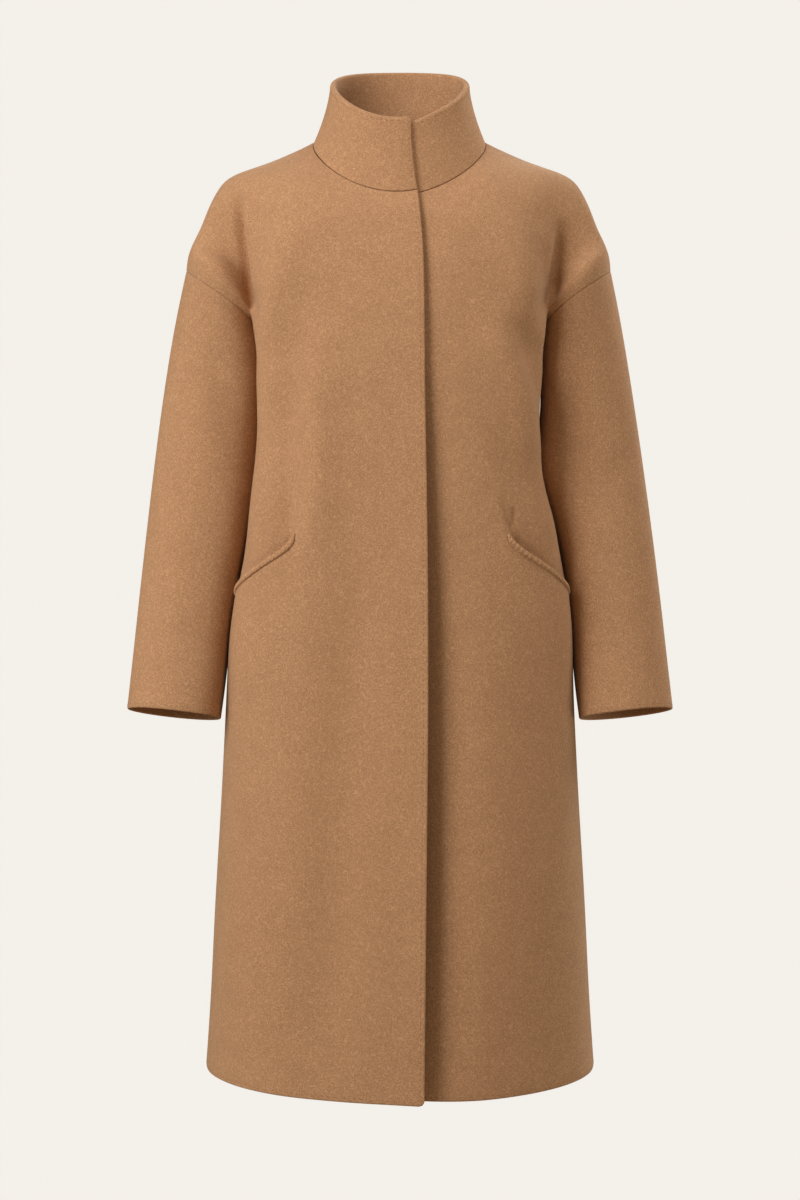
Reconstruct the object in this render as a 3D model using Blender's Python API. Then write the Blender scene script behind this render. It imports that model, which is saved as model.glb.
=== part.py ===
"""A cocoon coat in camel wool, filled out as if worn, with nobody in it.

Metres, +Z up. +X is the wearer's left, -Y the front, and the origin lies between the
shoulders, at the height of the neck points. Each piece that a maker would cut is one thin
closed wall. A panel is a smooth sheet through short tables of sections. `u` runs across it,
from the middle of the coat (0) to its outer seam (1). `v` runs down it, from the neck (0) past
the point of the shoulder (1) and the underarm (2) to the hem (3).
"""

from collections import namedtuple

import bpy
import numpy as np

# Cloth
WALL = 0.003  # the wool
COLLAR_WALL = 0.0045  # the collar is two layers of it
SEAM_GAP = 0.0003
CREASE_GAP = 0.0006  # how far each piece stands back where two meet in a crease
CREASE_LIKENESS = 0.5  # two normals with a smaller product than this meet in a crease

# Rows down a panel: beside the shoulder seam, beside the armhole, beside the side seam
SHOULDER_ROWS = 8
ARMHOLE_ROWS = 10
SIDE_ROWS = 15
ARMHOLE_TOP = SHOULDER_ROWS
UNDERARM = SHOULDER_ROWS + ARMHOLE_ROWS
ROWS = np.concatenate([
    np.linspace(0.0, 1.0, SHOULDER_ROWS, endpoint=False),
    np.linspace(1.0, 2.0, ARMHOLE_ROWS, endpoint=False),
    np.linspace(2.0, 3.0, SIDE_ROWS + 1),
])
SHOULDER_TRAVEL, ARMHOLE_TRAVEL = 0.16, 0.14  # how far those stretches run down the panel

# Columns across a panel. The knots are where the tables give a point of each section.
KNOTS = np.array([0.0, 0.2, 0.42, 0.62, 0.74, 0.86, 1.0])
BESIDE_MIDDLE = np.array([0.48, 0.20, 0.30])  # the second knot's share of the way to the chest
LAP_COLUMN = 0.3  # the column between the front edge and the middle
FRONT_COLUMNS = np.array([0.10, 0.20, 0.29, 0.37, 0.44, 0.51, 0.57, 0.63, 0.69, 0.75, 0.81, 0.87, 0.93, 1.0])
BACK_COLUMNS = np.array([0.0, 0.12, 0.24, 0.35, 0.45, 0.54, 0.62, 0.69, 0.76, 0.83, 0.91, 1.0])

# Neck seam and collar rim: two rings round the neck, sloping down to the front. `height` is
# the height at y = 0, and the ring droops below its slope to the front and to the back.
NeckRing = namedtuple("NeckRing", "half_width front back shift height slope front_droop back_droop")
NECK_SEAM = NeckRing(0.0993, 0.0885, 0.066, 0.0, 0.0060, 0.42, 3.1, 3.1)
COLLAR_RIM = NeckRing(0.0800, 0.0840, 0.074, 0.006, 0.0752, 0.42, 2.1, 1.5)
SHOULDER_ANGLE = np.radians(100.5)  # where the shoulder seam meets the neck seam
NECK_REACH = 0.25  # the v down to which the neck seam shapes the panels
COLLAR_ROWS = 5
COLLAR_FLARE = 1.6  # how fast the collar draws in above its foot
LAP_AT_RIM = np.array([1.0, 1.0, 0.3])  # how much of the lap's offset reaches the rim

# Shoulder seam, just behind the ridge of the shoulder: (x, y, z)
SHOULDER_SEAM = np.array([
    (0.148, 0.013, -0.0120),
    (0.184, 0.014, -0.0250),
    (0.1985, 0.014, -0.0325),
    (0.2105, 0.014, -0.0470),
    (0.2160, 0.0135, -0.0590),
    (0.2345, 0.012, -0.1150),
])

# Armhole: a slanted oval from the point of the shoulder to the underarm
ARMHOLE_OUTER = np.array([0.2444, 0.012, -0.1393])
ARMHOLE_INNER = np.array([0.1545, 0.012, -0.2170])
ARMHOLE_FRONT, ARMHOLE_BACK = 0.072, 0.085
ARMHOLE_RISE = 0.009  # its front and back lie this much above its middle
ARMHOLE_SAG = 0.0035

# Side seam
SIDE_Y = 0.012
HEM_Z = -1.052
HEM_DIP = 0.0052  # the hem hangs this much lower at the front and back
HEM_REACH = 0.15  # the rows above the hem that dip with it

EDGE_STEPS = 6  # steps towards the column that has the front edge's x

# Lap: the right front lies on the left one. Going down, its edge stands further forward and
# the left front sinks further back.
UNDERLAP = 0.035
LIFT_FROM, LIFT_WIDTH = 0.063, 0.093  # the right front rises from this x on, over this width
LIFT_POWER = 2.3
SINK_FROM, SINK_WIDTH = 0.095, 0.065  # and the left one sinks likewise
Lap = namedtuple("Lap", "z edge_x lift sink")
LAP = [
    Lap(-1.060, 0.0243, 0.0150, 0.0090),
    Lap(-0.830, 0.0283, 0.0180, 0.0104),
    Lap(-0.620, 0.0305, 0.0152, 0.0112),
    Lap(-0.460, 0.0311, 0.0108, 0.0100),
    Lap(-0.330, 0.0307, 0.0066, 0.0062),
    Lap(-0.220, 0.0297, 0.0042, 0.0038),
    Lap(-0.105, 0.0260, 0.0025, 0.0036),
    Lap(-0.055, 0.0207, 0.0025, 0.0036),
]

# Sections above the underarm. Each goes from the middle of the coat across the chest or the
# shoulder blade, round its outer side (lobe) into the crease before the arm, and over the arm.
Upper = namedtuple("Upper", "v middle chest lobe crease arm")
FRONT_UPPER = [
    Upper(0.25, (-0.1010, -0.076), (0.062, -0.094, -0.068), (0.098, -0.074, -0.045),
          (0.120, -0.053, -0.031), (0.137, -0.023, -0.018)),
    Upper(0.483, (-0.1090, -0.098), (0.085, -0.103, -0.091), (0.130, -0.082, -0.070),
          (0.162, -0.054, -0.052), (0.185, -0.022, -0.035)),
    Upper(0.625, (-0.1140, -0.113), (0.094, -0.1065, -0.109), (0.141, -0.087, -0.093),
          (0.172, -0.054, -0.077), (0.203, -0.024, -0.056)),
    Upper(0.883, (-0.1205, -0.138), (0.103, -0.110, -0.135), (0.150, -0.089, -0.124),
          (0.1715, -0.050, -0.109), (0.216, -0.027, -0.088)),
    Upper(1.0, (-0.1230, -0.150), (0.106, -0.111, -0.148), (0.152, -0.089, -0.141),
          (0.170, -0.048, -0.130), (0.222, -0.031, -0.106)),
    Upper(1.25, (-0.1275, -0.172), (0.109, -0.112, -0.171), (0.154, -0.087, -0.166),
          (0.1675, -0.045, -0.152), (0.210, -0.0525, -0.129)),
    Upper(1.5, (-0.1310, -0.195), (0.111, -0.113, -0.195), (0.155, -0.085, -0.190),
          (0.166, -0.045, -0.175), (0.187, -0.0570, -0.158)),
    Upper(1.75, (-0.1335, -0.216), (0.112, -0.1135, -0.217), (0.156, -0.082, -0.212),
          (0.1650, -0.054, -0.197), (0.1665, -0.047, -0.190)),
    Upper(2.0, (-0.1358, -0.238), (0.1125, -0.114, -0.239), (0.156, -0.077, -0.235),
          (0.160, -0.050, -0.228), (0.158, -0.020, -0.222)),
]
BACK_UPPER = [
    Upper(0.25, (0.0850, -0.014), (0.062, 0.080, -0.010), (0.098, 0.066, -0.010),
          (0.120, 0.052, -0.010), (0.137, 0.033, -0.011)),
    Upper(0.483, (0.0970, -0.046), (0.085, 0.094, -0.042), (0.130, 0.082, -0.037),
          (0.162, 0.065, -0.033), (0.185, 0.041, -0.030)),
    Upper(0.625, (0.1035, -0.066), (0.095, 0.101, -0.064), (0.141, 0.090, -0.059),
          (0.175, 0.074, -0.055), (0.203, 0.050, -0.051)),
    Upper(0.883, (0.1130, -0.107), (0.105, 0.110, -0.106), (0.152, 0.098, -0.101),
          (0.183, 0.081, -0.095), (0.217, 0.058, -0.086)),
    Upper(1.0, (0.1165, -0.126), (0.108, 0.1125, -0.125), (0.155, 0.100, -0.121),
          (0.181, 0.083, -0.115), (0.224, 0.063, -0.104)),
    Upper(1.25, (0.1205, -0.155), (0.110, 0.1155, -0.155), (0.156, 0.100, -0.152),
          (0.175, 0.084, -0.143), (0.211, 0.084, -0.128)),
    Upper(1.5, (0.1230, -0.182), (0.111, 0.1160, -0.183), (0.156, 0.097, -0.180),
          (0.168, 0.081, -0.170), (0.187, 0.0925, -0.157)),
    Upper(1.75, (0.1245, -0.208), (0.112, 0.1155, -0.210), (0.155, 0.092, -0.207),
          (0.1645, 0.080, -0.196), (0.1665, 0.077, -0.190)),
    Upper(2.0, (0.1260, -0.234), (0.1125, 0.1125, -0.236), (0.154, 0.082, -0.233),
          (0.157, 0.062, -0.226), (0.156, 0.036, -0.221)),
]

# Level sections below the underarm: a rounded oval, pressed in at the side by the sleeve
PINCH_FROM = 0.52  # the u at which the pressed-in side begins
Level = namedtuple("Level", "z front back half_width pinch fullness")
LEVELS = [
    Level(-0.262, 0.1375, 0.128, 0.1850, 0.0350, 2.35),
    Level(-0.320, 0.1420, 0.131, 0.1830, 0.0310, 2.35),
    Level(-0.395, 0.1470, 0.136, 0.1930, 0.0340, 2.3),
    Level(-0.470, 0.1510, 0.140, 0.2053, 0.0343, 2.2),
    Level(-0.535, 0.1530, 0.143, 0.2190, 0.0325, 2.15),
    Level(-0.630, 0.1560, 0.147, 0.2148, 0.0165, 2.2),
    Level(-0.747, 0.1590, 0.151, 0.2098, 0.0045, 2.35),
    Level(-0.862, 0.1620, 0.154, 0.2125, 0.0, 2.3),
    Level(-0.977, 0.1640, 0.156, 0.2185, 0.0, 2.1),
    Level(HEM_Z, 0.1650, 0.158, 0.2235, 0.0, 2.0),
]

# Large soft folds of the fronts: a ridge (height > 0) or trough from one end to the other
FOLD_FADE = 0.5  # the share of a fold's length over which each end fades in
FOLD_CLEAR = 0.15  # folds fade over this much of u before the outer seam
Fold = namedtuple("Fold", "x0 z0 x1 z1 width height")
FOLDS_RIGHT = [
    Fold(0.086, -0.240, 0.090, -0.430, 0.020, 0.0065),
    Fold(0.122, -0.265, 0.127, -0.440, 0.018, -0.0075),
    Fold(0.048, -0.460, 0.084, -1.000, 0.036, -0.0095),
]
FOLDS_LEFT = [
    Fold(0.106, -0.205, 0.154, -0.370, 0.017, 0.0060),
    Fold(0.134, -0.200, 0.176, -0.345, 0.017, -0.0080),
    Fold(0.108, -0.500, 0.108, -0.980, 0.032, 0.0020),
]

# Sleeves, from the armhole to the cuff: outer and inner edge, middle depth, front and back
# half depth, and how far the front of the ring lies above its middle
Ring = namedtuple("Ring", "outer inner middle front back rise")
SLEEVE = [
    Ring((0.2568, -0.1994), (0.1550, -0.262), 0.014, 0.066, 0.078, 0.008),
    Ring((0.2712, -0.2868), (0.1580, -0.325), 0.014, 0.062, 0.070, 0.006),
    Ring((0.2862, -0.4021), (0.1715, -0.425), 0.006, 0.060, 0.063, 0.006),
    Ring((0.2985, -0.5164), (0.1920, -0.5314), -0.010, 0.056, 0.058, 0.008),
    Ring((0.3067, -0.6010), (0.1993, -0.6134), -0.024, 0.0535, 0.0545, 0.0095),
    Ring((0.3105, -0.6395), (0.2040, -0.6504), -0.031, 0.053, 0.053, 0.0100),
]
SLEEVE_ROWS = 14
SLEEVE_COLUMNS = 2 * ARMHOLE_ROWS

# Pocket edges: a turned strip along each slanted slit, as (u, z) on the front
Slit = namedtuple("Slit", "u z")
POCKET_SLIT = [
    Slit(0.385, -0.436),
    Slit(0.425, -0.4514),
    Slit(0.500, -0.4663),
    Slit(0.580, -0.480),
    Slit(0.665, -0.4925),
    Slit(0.760, -0.504),
]
Band = namedtuple("Band", "down inward")  # the strip's width in z, and in u
POCKET_BAND = Band(0.0112, 0.0323)
PocketRow = namedtuple("PocketRow", "share thickness")
POCKET_PROFILE = [
    PocketRow(0.0, 0.0030),
    PocketRow(0.5, 0.0027),
    PocketRow(1.0, 0.0011),
]
POCKET_CLEARANCE = 0.0008
POCKET_STEP = 0.02  # the patch on which a normal is measured, in u
POCKET_COLUMNS = 14

# The worn coat sways a little to the wearer's right between the shoulders and the elbows.
SWAY = 0.0022
SWAY_Z, SWAY_REACH = -0.24, 0.20

# On the wearer's left, the crease between body and sleeve lies further out at some heights.
# The bulge rises from BULGE_IN to BULGE_TOP and is gone at BULGE_OUT.
Bulge = namedtuple("Bulge", "z out")
BULGES = [
    Bulge(-0.680, 0.0),
    Bulge(-0.600, 0.0012),
    Bulge(-0.530, 0.0050),
    Bulge(-0.460, 0.0065),
    Bulge(-0.415, 0.0030),
    Bulge(-0.366, -0.0035),
    Bulge(-0.335, 0.0015),
    Bulge(-0.290, 0.0085),
    Bulge(-0.240, 0.0080),
    Bulge(-0.200, 0.0030),
    Bulge(-0.150, 0.0),
]
BULGE_IN, BULGE_TOP, BULGE_OUT = 0.05, 0.165, 0.25

CAMEL = (0.50, 0.278, 0.152)
WOOL_ROUGHNESS = 0.95
EDGE_ANGLE = np.radians(50.0)  # sharper turns than this are shaded as edges


def smooth(t):
    """Rises from 0 to 1 with level ends."""
    t = np.clip(t, 0.0, 1.0)
    return t * t * (3.0 - 2.0 * t)


def spline(knots, values, at):
    """A natural cubic spline through values[k] at knots[k], read at each of `at`.

    With `at` of shape (rows, columns) and values of shape (knots, rows, 3), each row of the
    answer is read from its own curve.
    """
    knots = np.asarray(knots, float)
    values = np.asarray(values, float)
    step = np.diff(knots)
    size = len(knots)
    system = np.eye(size)
    right = np.zeros_like(values)
    for k in range(1, size - 1):
        system[k, k - 1:k + 2] = step[k - 1], 2.0 * (step[k - 1] + step[k]), step[k]
        rise_after = (values[k + 1] - values[k]) / step[k]
        rise_before = (values[k] - values[k - 1]) / step[k - 1]
        right[k] = 6.0 * (rise_after - rise_before)
    bend = np.linalg.solve(system, right.reshape(size, -1)).reshape(values.shape)
    at = np.asarray(at, float)
    k = np.clip(np.searchsorted(knots, at, side="right") - 1, 0, size - 2)
    width = step[k]
    after = (at - knots[k]) / width
    before = 1.0 - after
    own_row = (np.arange(at.shape[0])[:, None],) if at.ndim == 2 else ()
    low, high = (k,) + own_row, (k + 1,) + own_row
    extra = (1,) * (values[low].ndim - at.ndim)
    after, before, width = (a.reshape(a.shape + extra) for a in (after, before, width))
    straight = before * values[low] + after * values[high]
    curved = (before ** 3 - before) * bend[low] + (after ** 3 - after) * bend[high]
    return straight + curved * width ** 2 / 6.0


def ring_round_neck(ring, angle):
    """Points of a ring round the neck. The angle is 0 at the front and pi at the back."""
    depth = np.where(np.cos(angle) > 0.0, ring.front, ring.back)
    y = ring.shift - depth * np.cos(angle)
    droop = np.where(y < 0.0, ring.front_droop, ring.back_droop)
    z = ring.height + ring.slope * y - droop * y * y
    return np.stack([ring.half_width * np.sin(angle), y, z], -1)


def armhole(angle):
    """The armhole seam. The angle is 0 at the shoulder, pi at the underarm, and falls
    to -pi along the back."""
    angle = np.asarray(angle, float)[..., None]
    middle = (ARMHOLE_OUTER + ARMHOLE_INNER) / 2.0
    reach = (ARMHOLE_OUTER - ARMHOLE_INNER) / 2.0
    depth = np.where(angle > 0.0, ARMHOLE_FRONT, ARMHOLE_BACK)
    sideways = np.array([0.0, -1.0, 0.0]) * depth * np.sin(angle)
    upwards = ARMHOLE_RISE * np.abs(np.sin(angle)) - ARMHOLE_SAG * np.sin(2.0 * np.abs(angle))
    return middle + reach * np.cos(angle) + sideways + np.array([0.0, 0.0, 1.0]) * upwards


def level_section(level, u, front):
    """The points of a level section at u, on the front or on the back."""
    angle = u * np.pi / 2.0
    swell = (np.sin(angle) ** level.fullness + np.cos(angle) ** level.fullness) ** (-1.0 / level.fullness)
    x = level.half_width * np.sin(angle) * swell - level.pinch * smooth((u - PINCH_FROM) / (1.0 - PINCH_FROM))
    if front:
        y = SIDE_Y - (level.front + SIDE_Y) * np.cos(angle) * swell
    else:
        y = SIDE_Y + (level.back - SIDE_Y) * np.cos(angle) * swell
    return np.stack([x, y, np.full_like(x, level.z)], -1)


def level_v(z):
    """The v of a level section."""
    return 2.0 + (z - ARMHOLE_INNER[2]) / (HEM_Z - ARMHOLE_INNER[2])


def outer_seam(v, front):
    """The outer edge of a body panel: shoulder seam, armhole, side seam."""
    v = np.asarray(v, float)
    sections = np.array([level_section(level, np.ones(1), True)[0] for level in LEVELS])
    neck_point = ring_round_neck(NECK_SEAM, SHOULDER_ANGLE)
    shoulder = np.vstack([neck_point, SHOULDER_SEAM, ARMHOLE_OUTER])
    along = np.append(0.0, np.cumsum(np.linalg.norm(np.diff(shoulder, axis=0), axis=1)))
    on_shoulder = spline(along / along[-1], shoulder, np.clip(v, 0.0, 1.0))
    turn = np.pi * np.clip(v - 1.0, 0.0, 1.0)
    on_armhole = armhole(turn if front else -turn)
    side = np.vstack([ARMHOLE_INNER, sections])
    side_v = np.append(2.0, [level_v(level.z) for level in LEVELS])
    on_side = spline(side_v, side, np.clip(v, 2.0, 3.0))
    above = np.where((v < 1.0)[..., None], on_shoulder, on_armhole)
    return np.where((v < 2.0)[..., None], above, on_side)


Row = namedtuple("Row", "v points")


def neck_angle(u, front):
    """The angle round the neck ring at u."""
    return u * SHOULDER_ANGLE if front else np.pi - u * (np.pi - SHOULDER_ANGLE)


def travel(v):
    """How far down the panel a row lies, in metres: what the splines run along."""
    shoulder = np.clip(v, 0.0, 1.0) * SHOULDER_TRAVEL
    arm = np.clip(v - 1.0, 0.0, 1.0) * ARMHOLE_TRAVEL
    side = np.clip(v - 2.0, 0.0, 1.0) * (ARMHOLE_INNER[2] - HEM_Z)
    return shoulder + arm + side


def control_net(front):
    """Rows of points at KNOTS, mirrored across the middle, and the v of each row."""
    rows = [Row(0.0, ring_round_neck(NECK_SEAM, neck_angle(KNOTS, front)))]
    for section in FRONT_UPPER if front else BACK_UPPER:
        y, z = section.middle
        middle = np.array([0.0, y, z])
        chest = np.array(section.chest)
        beside = middle + (chest - middle) * BESIDE_MIDDLE
        edge = outer_seam(section.v, front)
        points = [middle, beside, chest, section.lobe, section.crease, section.arm, edge]
        rows.append(Row(section.v, np.array(points)))
    for level in LEVELS:
        rows.append(Row(level_v(level.z), level_section(level, KNOTS, front)))
    half = np.array([row.points for row in rows])
    both_halves = np.concatenate([mirrored(half[:, :0:-1]), half], axis=1)
    return np.array([row.v for row in rows]), both_halves


def body_sheet(u, v, front):
    """The body's outer surface at each u of each row v. u has the shape (rows, columns)."""
    v = np.asarray(v, float)
    net_v, net = control_net(front)
    rows = spline(travel(net_v), net, travel(v))
    rows[:, -1] = outer_seam(v, front)
    rows[:, 0] = mirrored(rows[:, -1])
    both = np.concatenate([-KNOTS[:0:-1], KNOTS])
    points = spline(both, rows.transpose(1, 0, 2), u)
    neck = ring_round_neck(NECK_SEAM, neck_angle(u, front))
    seam = spline(both, np.repeat(net[0][:, None], len(v), axis=1), u)
    near_neck = 1.0 - smooth(v / NECK_REACH)[:, None, None]
    return points + (neck - seam) * near_neck


def normals_of(points):
    """Unit normals of a grid of points, across rows and columns."""
    normal = np.cross(np.gradient(points, axis=1), np.gradient(points, axis=0))
    return normal / np.linalg.norm(normal, axis=-1, keepdims=True)


def fold_height(x, z, folds):
    """How far the folds lift the cloth at (x, z)."""
    height = np.zeros_like(x)
    for fold in folds:
        dx, dz = fold.x1 - fold.x0, fold.z1 - fold.z0
        length = np.hypot(dx, dz)
        along = ((x - fold.x0) * dx + (z - fold.z0) * dz) / length ** 2
        aside = ((x - fold.x0) * dz - (z - fold.z0) * dx) / length / fold.width
        fade = smooth(0.5 + along / FOLD_FADE) * smooth(0.5 + (1.0 - along) / FOLD_FADE)
        height += fold.height * np.exp(-aside ** 2) * fade
    return height


def edge_column(v, edge_x):
    """The u at which each row of the front reaches the given x, near the middle."""
    u = edge_x[:, None] / LEVELS[0].half_width
    for _ in range(EDGE_STEPS):
        u = u * edge_x[:, None] / body_sheet(u, v, True)[..., 0]
    return u


def lap_at(z):
    """The lap's edge_x, lift and sink at each height."""
    table = np.array(LAP)
    return spline(table[:, 0], table[:, 1:], np.clip(z.ravel(), table[0, 0], table[-1, 0]))


def hem_dip(points):
    """Lowers the last rows so that the hem hangs a little lower at the front and back."""
    dip = HEM_DIP * np.abs(points[..., 1] - SIDE_Y) / LEVELS[-1].front
    down = smooth((HEM_Z + HEM_REACH - points[..., 2]) / HEM_REACH)
    return points - np.stack([0.0 * dip, 0.0 * dip, dip * down], -1)


def front_places(right):
    """The u of each point of a front. Both fronts are worked out on the +X side."""
    centre = body_sheet(np.zeros((len(ROWS), 1)), ROWS, True)[:, 0]
    edge_x = -lap_at(centre[:, 2])[:, 0] if right else np.full(len(ROWS), -UNDERLAP)
    first = edge_column(ROWS, edge_x)
    return np.concatenate([first, first * LAP_COLUMN, np.tile(FRONT_COLUMNS, (len(ROWS), 1))], axis=1)


def shaped_front(u, v, right):
    points = body_sheet(u, v, True)
    normal = -normals_of(points)
    folds = fold_height(points[..., 0], points[..., 2], FOLDS_RIGHT if right else FOLDS_LEFT)
    folds = folds * smooth((1.0 - u) / FOLD_CLEAR)
    x = points[..., 0]
    lap = lap_at(points[..., 2]).reshape(x.shape + (3,))
    if right:
        lift = lap[..., 1] * np.clip((LIFT_FROM - x) / LIFT_WIDTH, 0.0, 1.0) ** LIFT_POWER
    else:
        lift = -lap[..., 2] * smooth((SINK_FROM - x) / SINK_WIDTH)
    points = points + normal * (folds + lift)[..., None]
    return hem_dip(points), normal


def back_sheet():
    u = np.concatenate([-BACK_COLUMNS[:0:-1], BACK_COLUMNS])
    points = body_sheet(np.tile(u, (len(ROWS), 1)), ROWS, False)
    return hem_dip(points), normals_of(points)


def sleeve_sheet(rows=SLEEVE_ROWS):
    """Rings from the armhole down to the cuff, on the +X side, starting at the underarm."""
    turn = np.linspace(np.pi, -np.pi, SLEEVE_COLUMNS + 1)[:-1]
    rings = [armhole(turn)]
    for ring in SLEEVE:
        outer = np.array([ring.outer[0], ring.middle, ring.outer[1]])
        inner = np.array([ring.inner[0], ring.middle, ring.inner[1]])
        depth = np.where(turn > 0.0, ring.front, ring.back)
        across = (outer - inner) / 2.0 * np.cos(turn)[:, None]
        forward = np.stack([0.0 * turn, -depth * np.sin(turn), ring.rise * np.sin(turn)], -1)
        rings.append((outer + inner) / 2.0 + across + forward)
    rings = np.array(rings)
    middles = rings.mean(axis=1)
    along = np.append(0.0, np.cumsum(np.linalg.norm(np.diff(middles, axis=0), axis=1)))
    points = spline(along / along[-1], rings, np.linspace(0.0, 1.0, rows + 1))
    ahead = np.roll(points, -1, axis=1) - np.roll(points, 1, axis=1)
    normal = np.cross(np.gradient(points, axis=0), ahead)
    normal = normal / np.linalg.norm(normal, axis=-1, keepdims=True)
    return points, normal


def mirrored(points):
    return points * np.array([-1.0, 1.0, 1.0])


def swayed(points):
    """The whole coat's lean and bulge, which move every piece alike."""
    x, z = points[..., 0], points[..., 2]
    table = np.array(BULGES)
    out = spline(table[:, 0], table[:, 1], np.clip(z, table[0, 0], table[-1, 0]))
    out = out * smooth((x - BULGE_IN) / (BULGE_TOP - BULGE_IN))
    out = out * smooth((BULGE_OUT - x) / (BULGE_OUT - BULGE_TOP))
    sway = SWAY * np.exp(-((z - SWAY_Z) / SWAY_REACH) ** 2)
    return points + np.stack([out - sway, 0.0 * sway, 0.0 * sway], -1)


def shared_normal(own, *others):
    """The wall's direction at a seam: common to the pieces where they run on smoothly, and
    each piece's own where they meet in a crease."""
    both = own.copy()
    for other in others:
        likeness = np.sum(own * other, -1, keepdims=True)
        both += other * np.clip(likeness / CREASE_LIKENESS, 0.0, 1.0)
    return both / np.linalg.norm(both, axis=-1, keepdims=True)


def parted(edge, beside, own, other):
    """An edge moved half a seam's gap into its piece, and back from a piece that meets it in
    a crease."""
    inward = beside - edge
    inward = inward / np.linalg.norm(inward, axis=-1, keepdims=True)
    crease = 1.0 - np.clip(np.sum(own * other, -1, keepdims=True), 0.0, 1.0)
    return edge + inward * SEAM_GAP / 2.0 - own * crease * CREASE_GAP


def wool(name):
    made = bpy.data.materials.new(name)
    made.use_nodes = True
    shader = made.node_tree.nodes["Principled BSDF"]
    shader.inputs["Base Color"].default_value = (*CAMEL, 1.0)
    shader.inputs["Roughness"].default_value = WOOL_ROUGHNESS
    shader.inputs["Metallic"].default_value = 0.0
    return made


def wall(name, outer, inner, tube=False):
    """A closed wall between two grids of points. A tube's columns run all the way round."""
    rows, columns = outer.shape[:2]
    points = swayed(np.concatenate([outer.reshape(-1, 3), inner.reshape(-1, 3)]))
    number = np.arange(rows * columns).reshape(rows, columns)
    if tube:
        number = np.concatenate([number, number[:, :1]], axis=1)
    under = number + rows * columns

    def quads(a, b, c, d):
        return np.stack([a, b, c, d], -1).reshape(-1, 4)

    faces = [
        quads(number[:-1, :-1], number[1:, :-1], number[1:, 1:], number[:-1, 1:]),
        quads(under[:-1, :-1], under[:-1, 1:], under[1:, 1:], under[1:, :-1]),
        quads(number[0, :-1], number[0, 1:], under[0, 1:], under[0, :-1]),
        quads(number[-1, :-1], under[-1, :-1], under[-1, 1:], number[-1, 1:]),
    ]
    if not tube:
        faces.append(quads(number[:-1, 0], under[:-1, 0], under[1:, 0], number[1:, 0]))
        faces.append(quads(number[:-1, -1], number[1:, -1], under[1:, -1], under[:-1, -1]))
    faces = np.concatenate(faces)
    a, b, c, d = (points[faces[:, k]] for k in range(4))
    if np.sum(np.cross(a, b) * c + np.cross(a, c) * d) < 0.0:
        faces = faces[:, ::-1]
    mesh = bpy.data.meshes.new(name)
    mesh.from_pydata(points.tolist(), [], faces.tolist())
    mesh.materials.append(wool(name + "_wool"))
    mesh.shade_smooth()
    mesh.set_sharp_from_angle(angle=EDGE_ANGLE)
    made = bpy.data.objects.new(name, mesh)
    bpy.context.scene.collection.objects.link(made)
    return made


def pulled_down(points):
    """Moves the first row half a seam's gap into the piece."""
    moved = points.copy()
    inward = points[1] - points[0]
    inward = inward / np.linalg.norm(inward, axis=-1, keepdims=True)
    moved[0] += inward * SEAM_GAP / 2.0
    return moved


def build():
    for old in list(bpy.data.objects):
        bpy.data.objects.remove(old)

    back, back_normal = back_sheet()
    sleeve, sleeve_normal = sleeve_sheet()
    half = ARMHOLE_ROWS
    fronts = {}
    for right in (True, False):
        fronts[right] = shaped_front(front_places(right), ROWS, right)

    # Along each seam: the normals of the pieces that meet there, on the +X side
    arm = slice(ARMHOLE_TOP, UNDERARM + 1)
    behind = back_normal[:, -1]
    arm_front = sleeve_normal[0, half::-1]
    arm_back = np.concatenate([sleeve_normal[0, half:], sleeve_normal[0, :1]])
    ahead = fronts[True][1][:, -1]

    def body_edge(points, normal, opposite, sleeve_edge):
        """The outer seam edge of a panel: its points and its wall's directions."""
        edge, own = points[:, -1].copy(), normal[:, -1]
        walls = shared_normal(own, opposite)
        walls[arm] = shared_normal(own[arm], sleeve_edge)
        for corner, at in ((ARMHOLE_TOP, 0), (UNDERARM, -1)):
            walls[corner] = shared_normal(own[corner], opposite[corner], sleeve_edge[at])
        parting = parted(edge, points[:, -2], own, own)
        parting[arm] = parted(edge[arm], points[arm, -2], own[arm], sleeve_edge)
        return parting, walls

    # Body panels
    tops = {}
    for right, name in ((True, "front_right"), (False, "front_left")):
        points, normal = fronts[right]
        tops[right] = points[0]
        outer, walls = pulled_down(points), normal.copy()
        edge, walls[:, -1] = body_edge(points, normal, behind, arm_front)
        outer[1:, -1] = edge[1:]
        inner = outer - walls * WALL
        if right:
            outer, inner = mirrored(outer), mirrored(inner)
        wall(name, outer, inner)
    outer, walls = pulled_down(back), back_normal.copy()
    edge, walls[:, -1] = body_edge(back, back_normal, ahead, arm_back)
    outer[1:, -1] = edge[1:]
    outer[1:, 0] = mirrored(edge[1:])
    walls[:, 0] = mirrored(walls[:, -1])
    wall("back", outer, outer - walls * WALL)

    # Sleeves
    body = np.concatenate([ahead[arm][::-1], behind[arm][1:-1]])
    walls = sleeve_normal.copy()
    walls[0] = shared_normal(sleeve_normal[0], body)
    walls[0, half] = shared_normal(sleeve_normal[0, half], ahead[ARMHOLE_TOP], behind[ARMHOLE_TOP])
    outer = sleeve.copy()
    outer[0] = parted(sleeve[0], sleeve[1], sleeve_normal[0], body)
    inner = outer - walls * WALL
    wall("sleeve_left", outer, inner, tube=True)
    wall("sleeve_right", mirrored(outer), mirrored(inner), tube=True)

    # Collar: its foot follows the tops of the three body panels
    foot = np.concatenate([
        mirrored(tops[True]),
        back[0, 1:-1],
        tops[False][::-1],
    ])
    collar(foot)
    for right in (True, False):
        pocket_edge(right)


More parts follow.
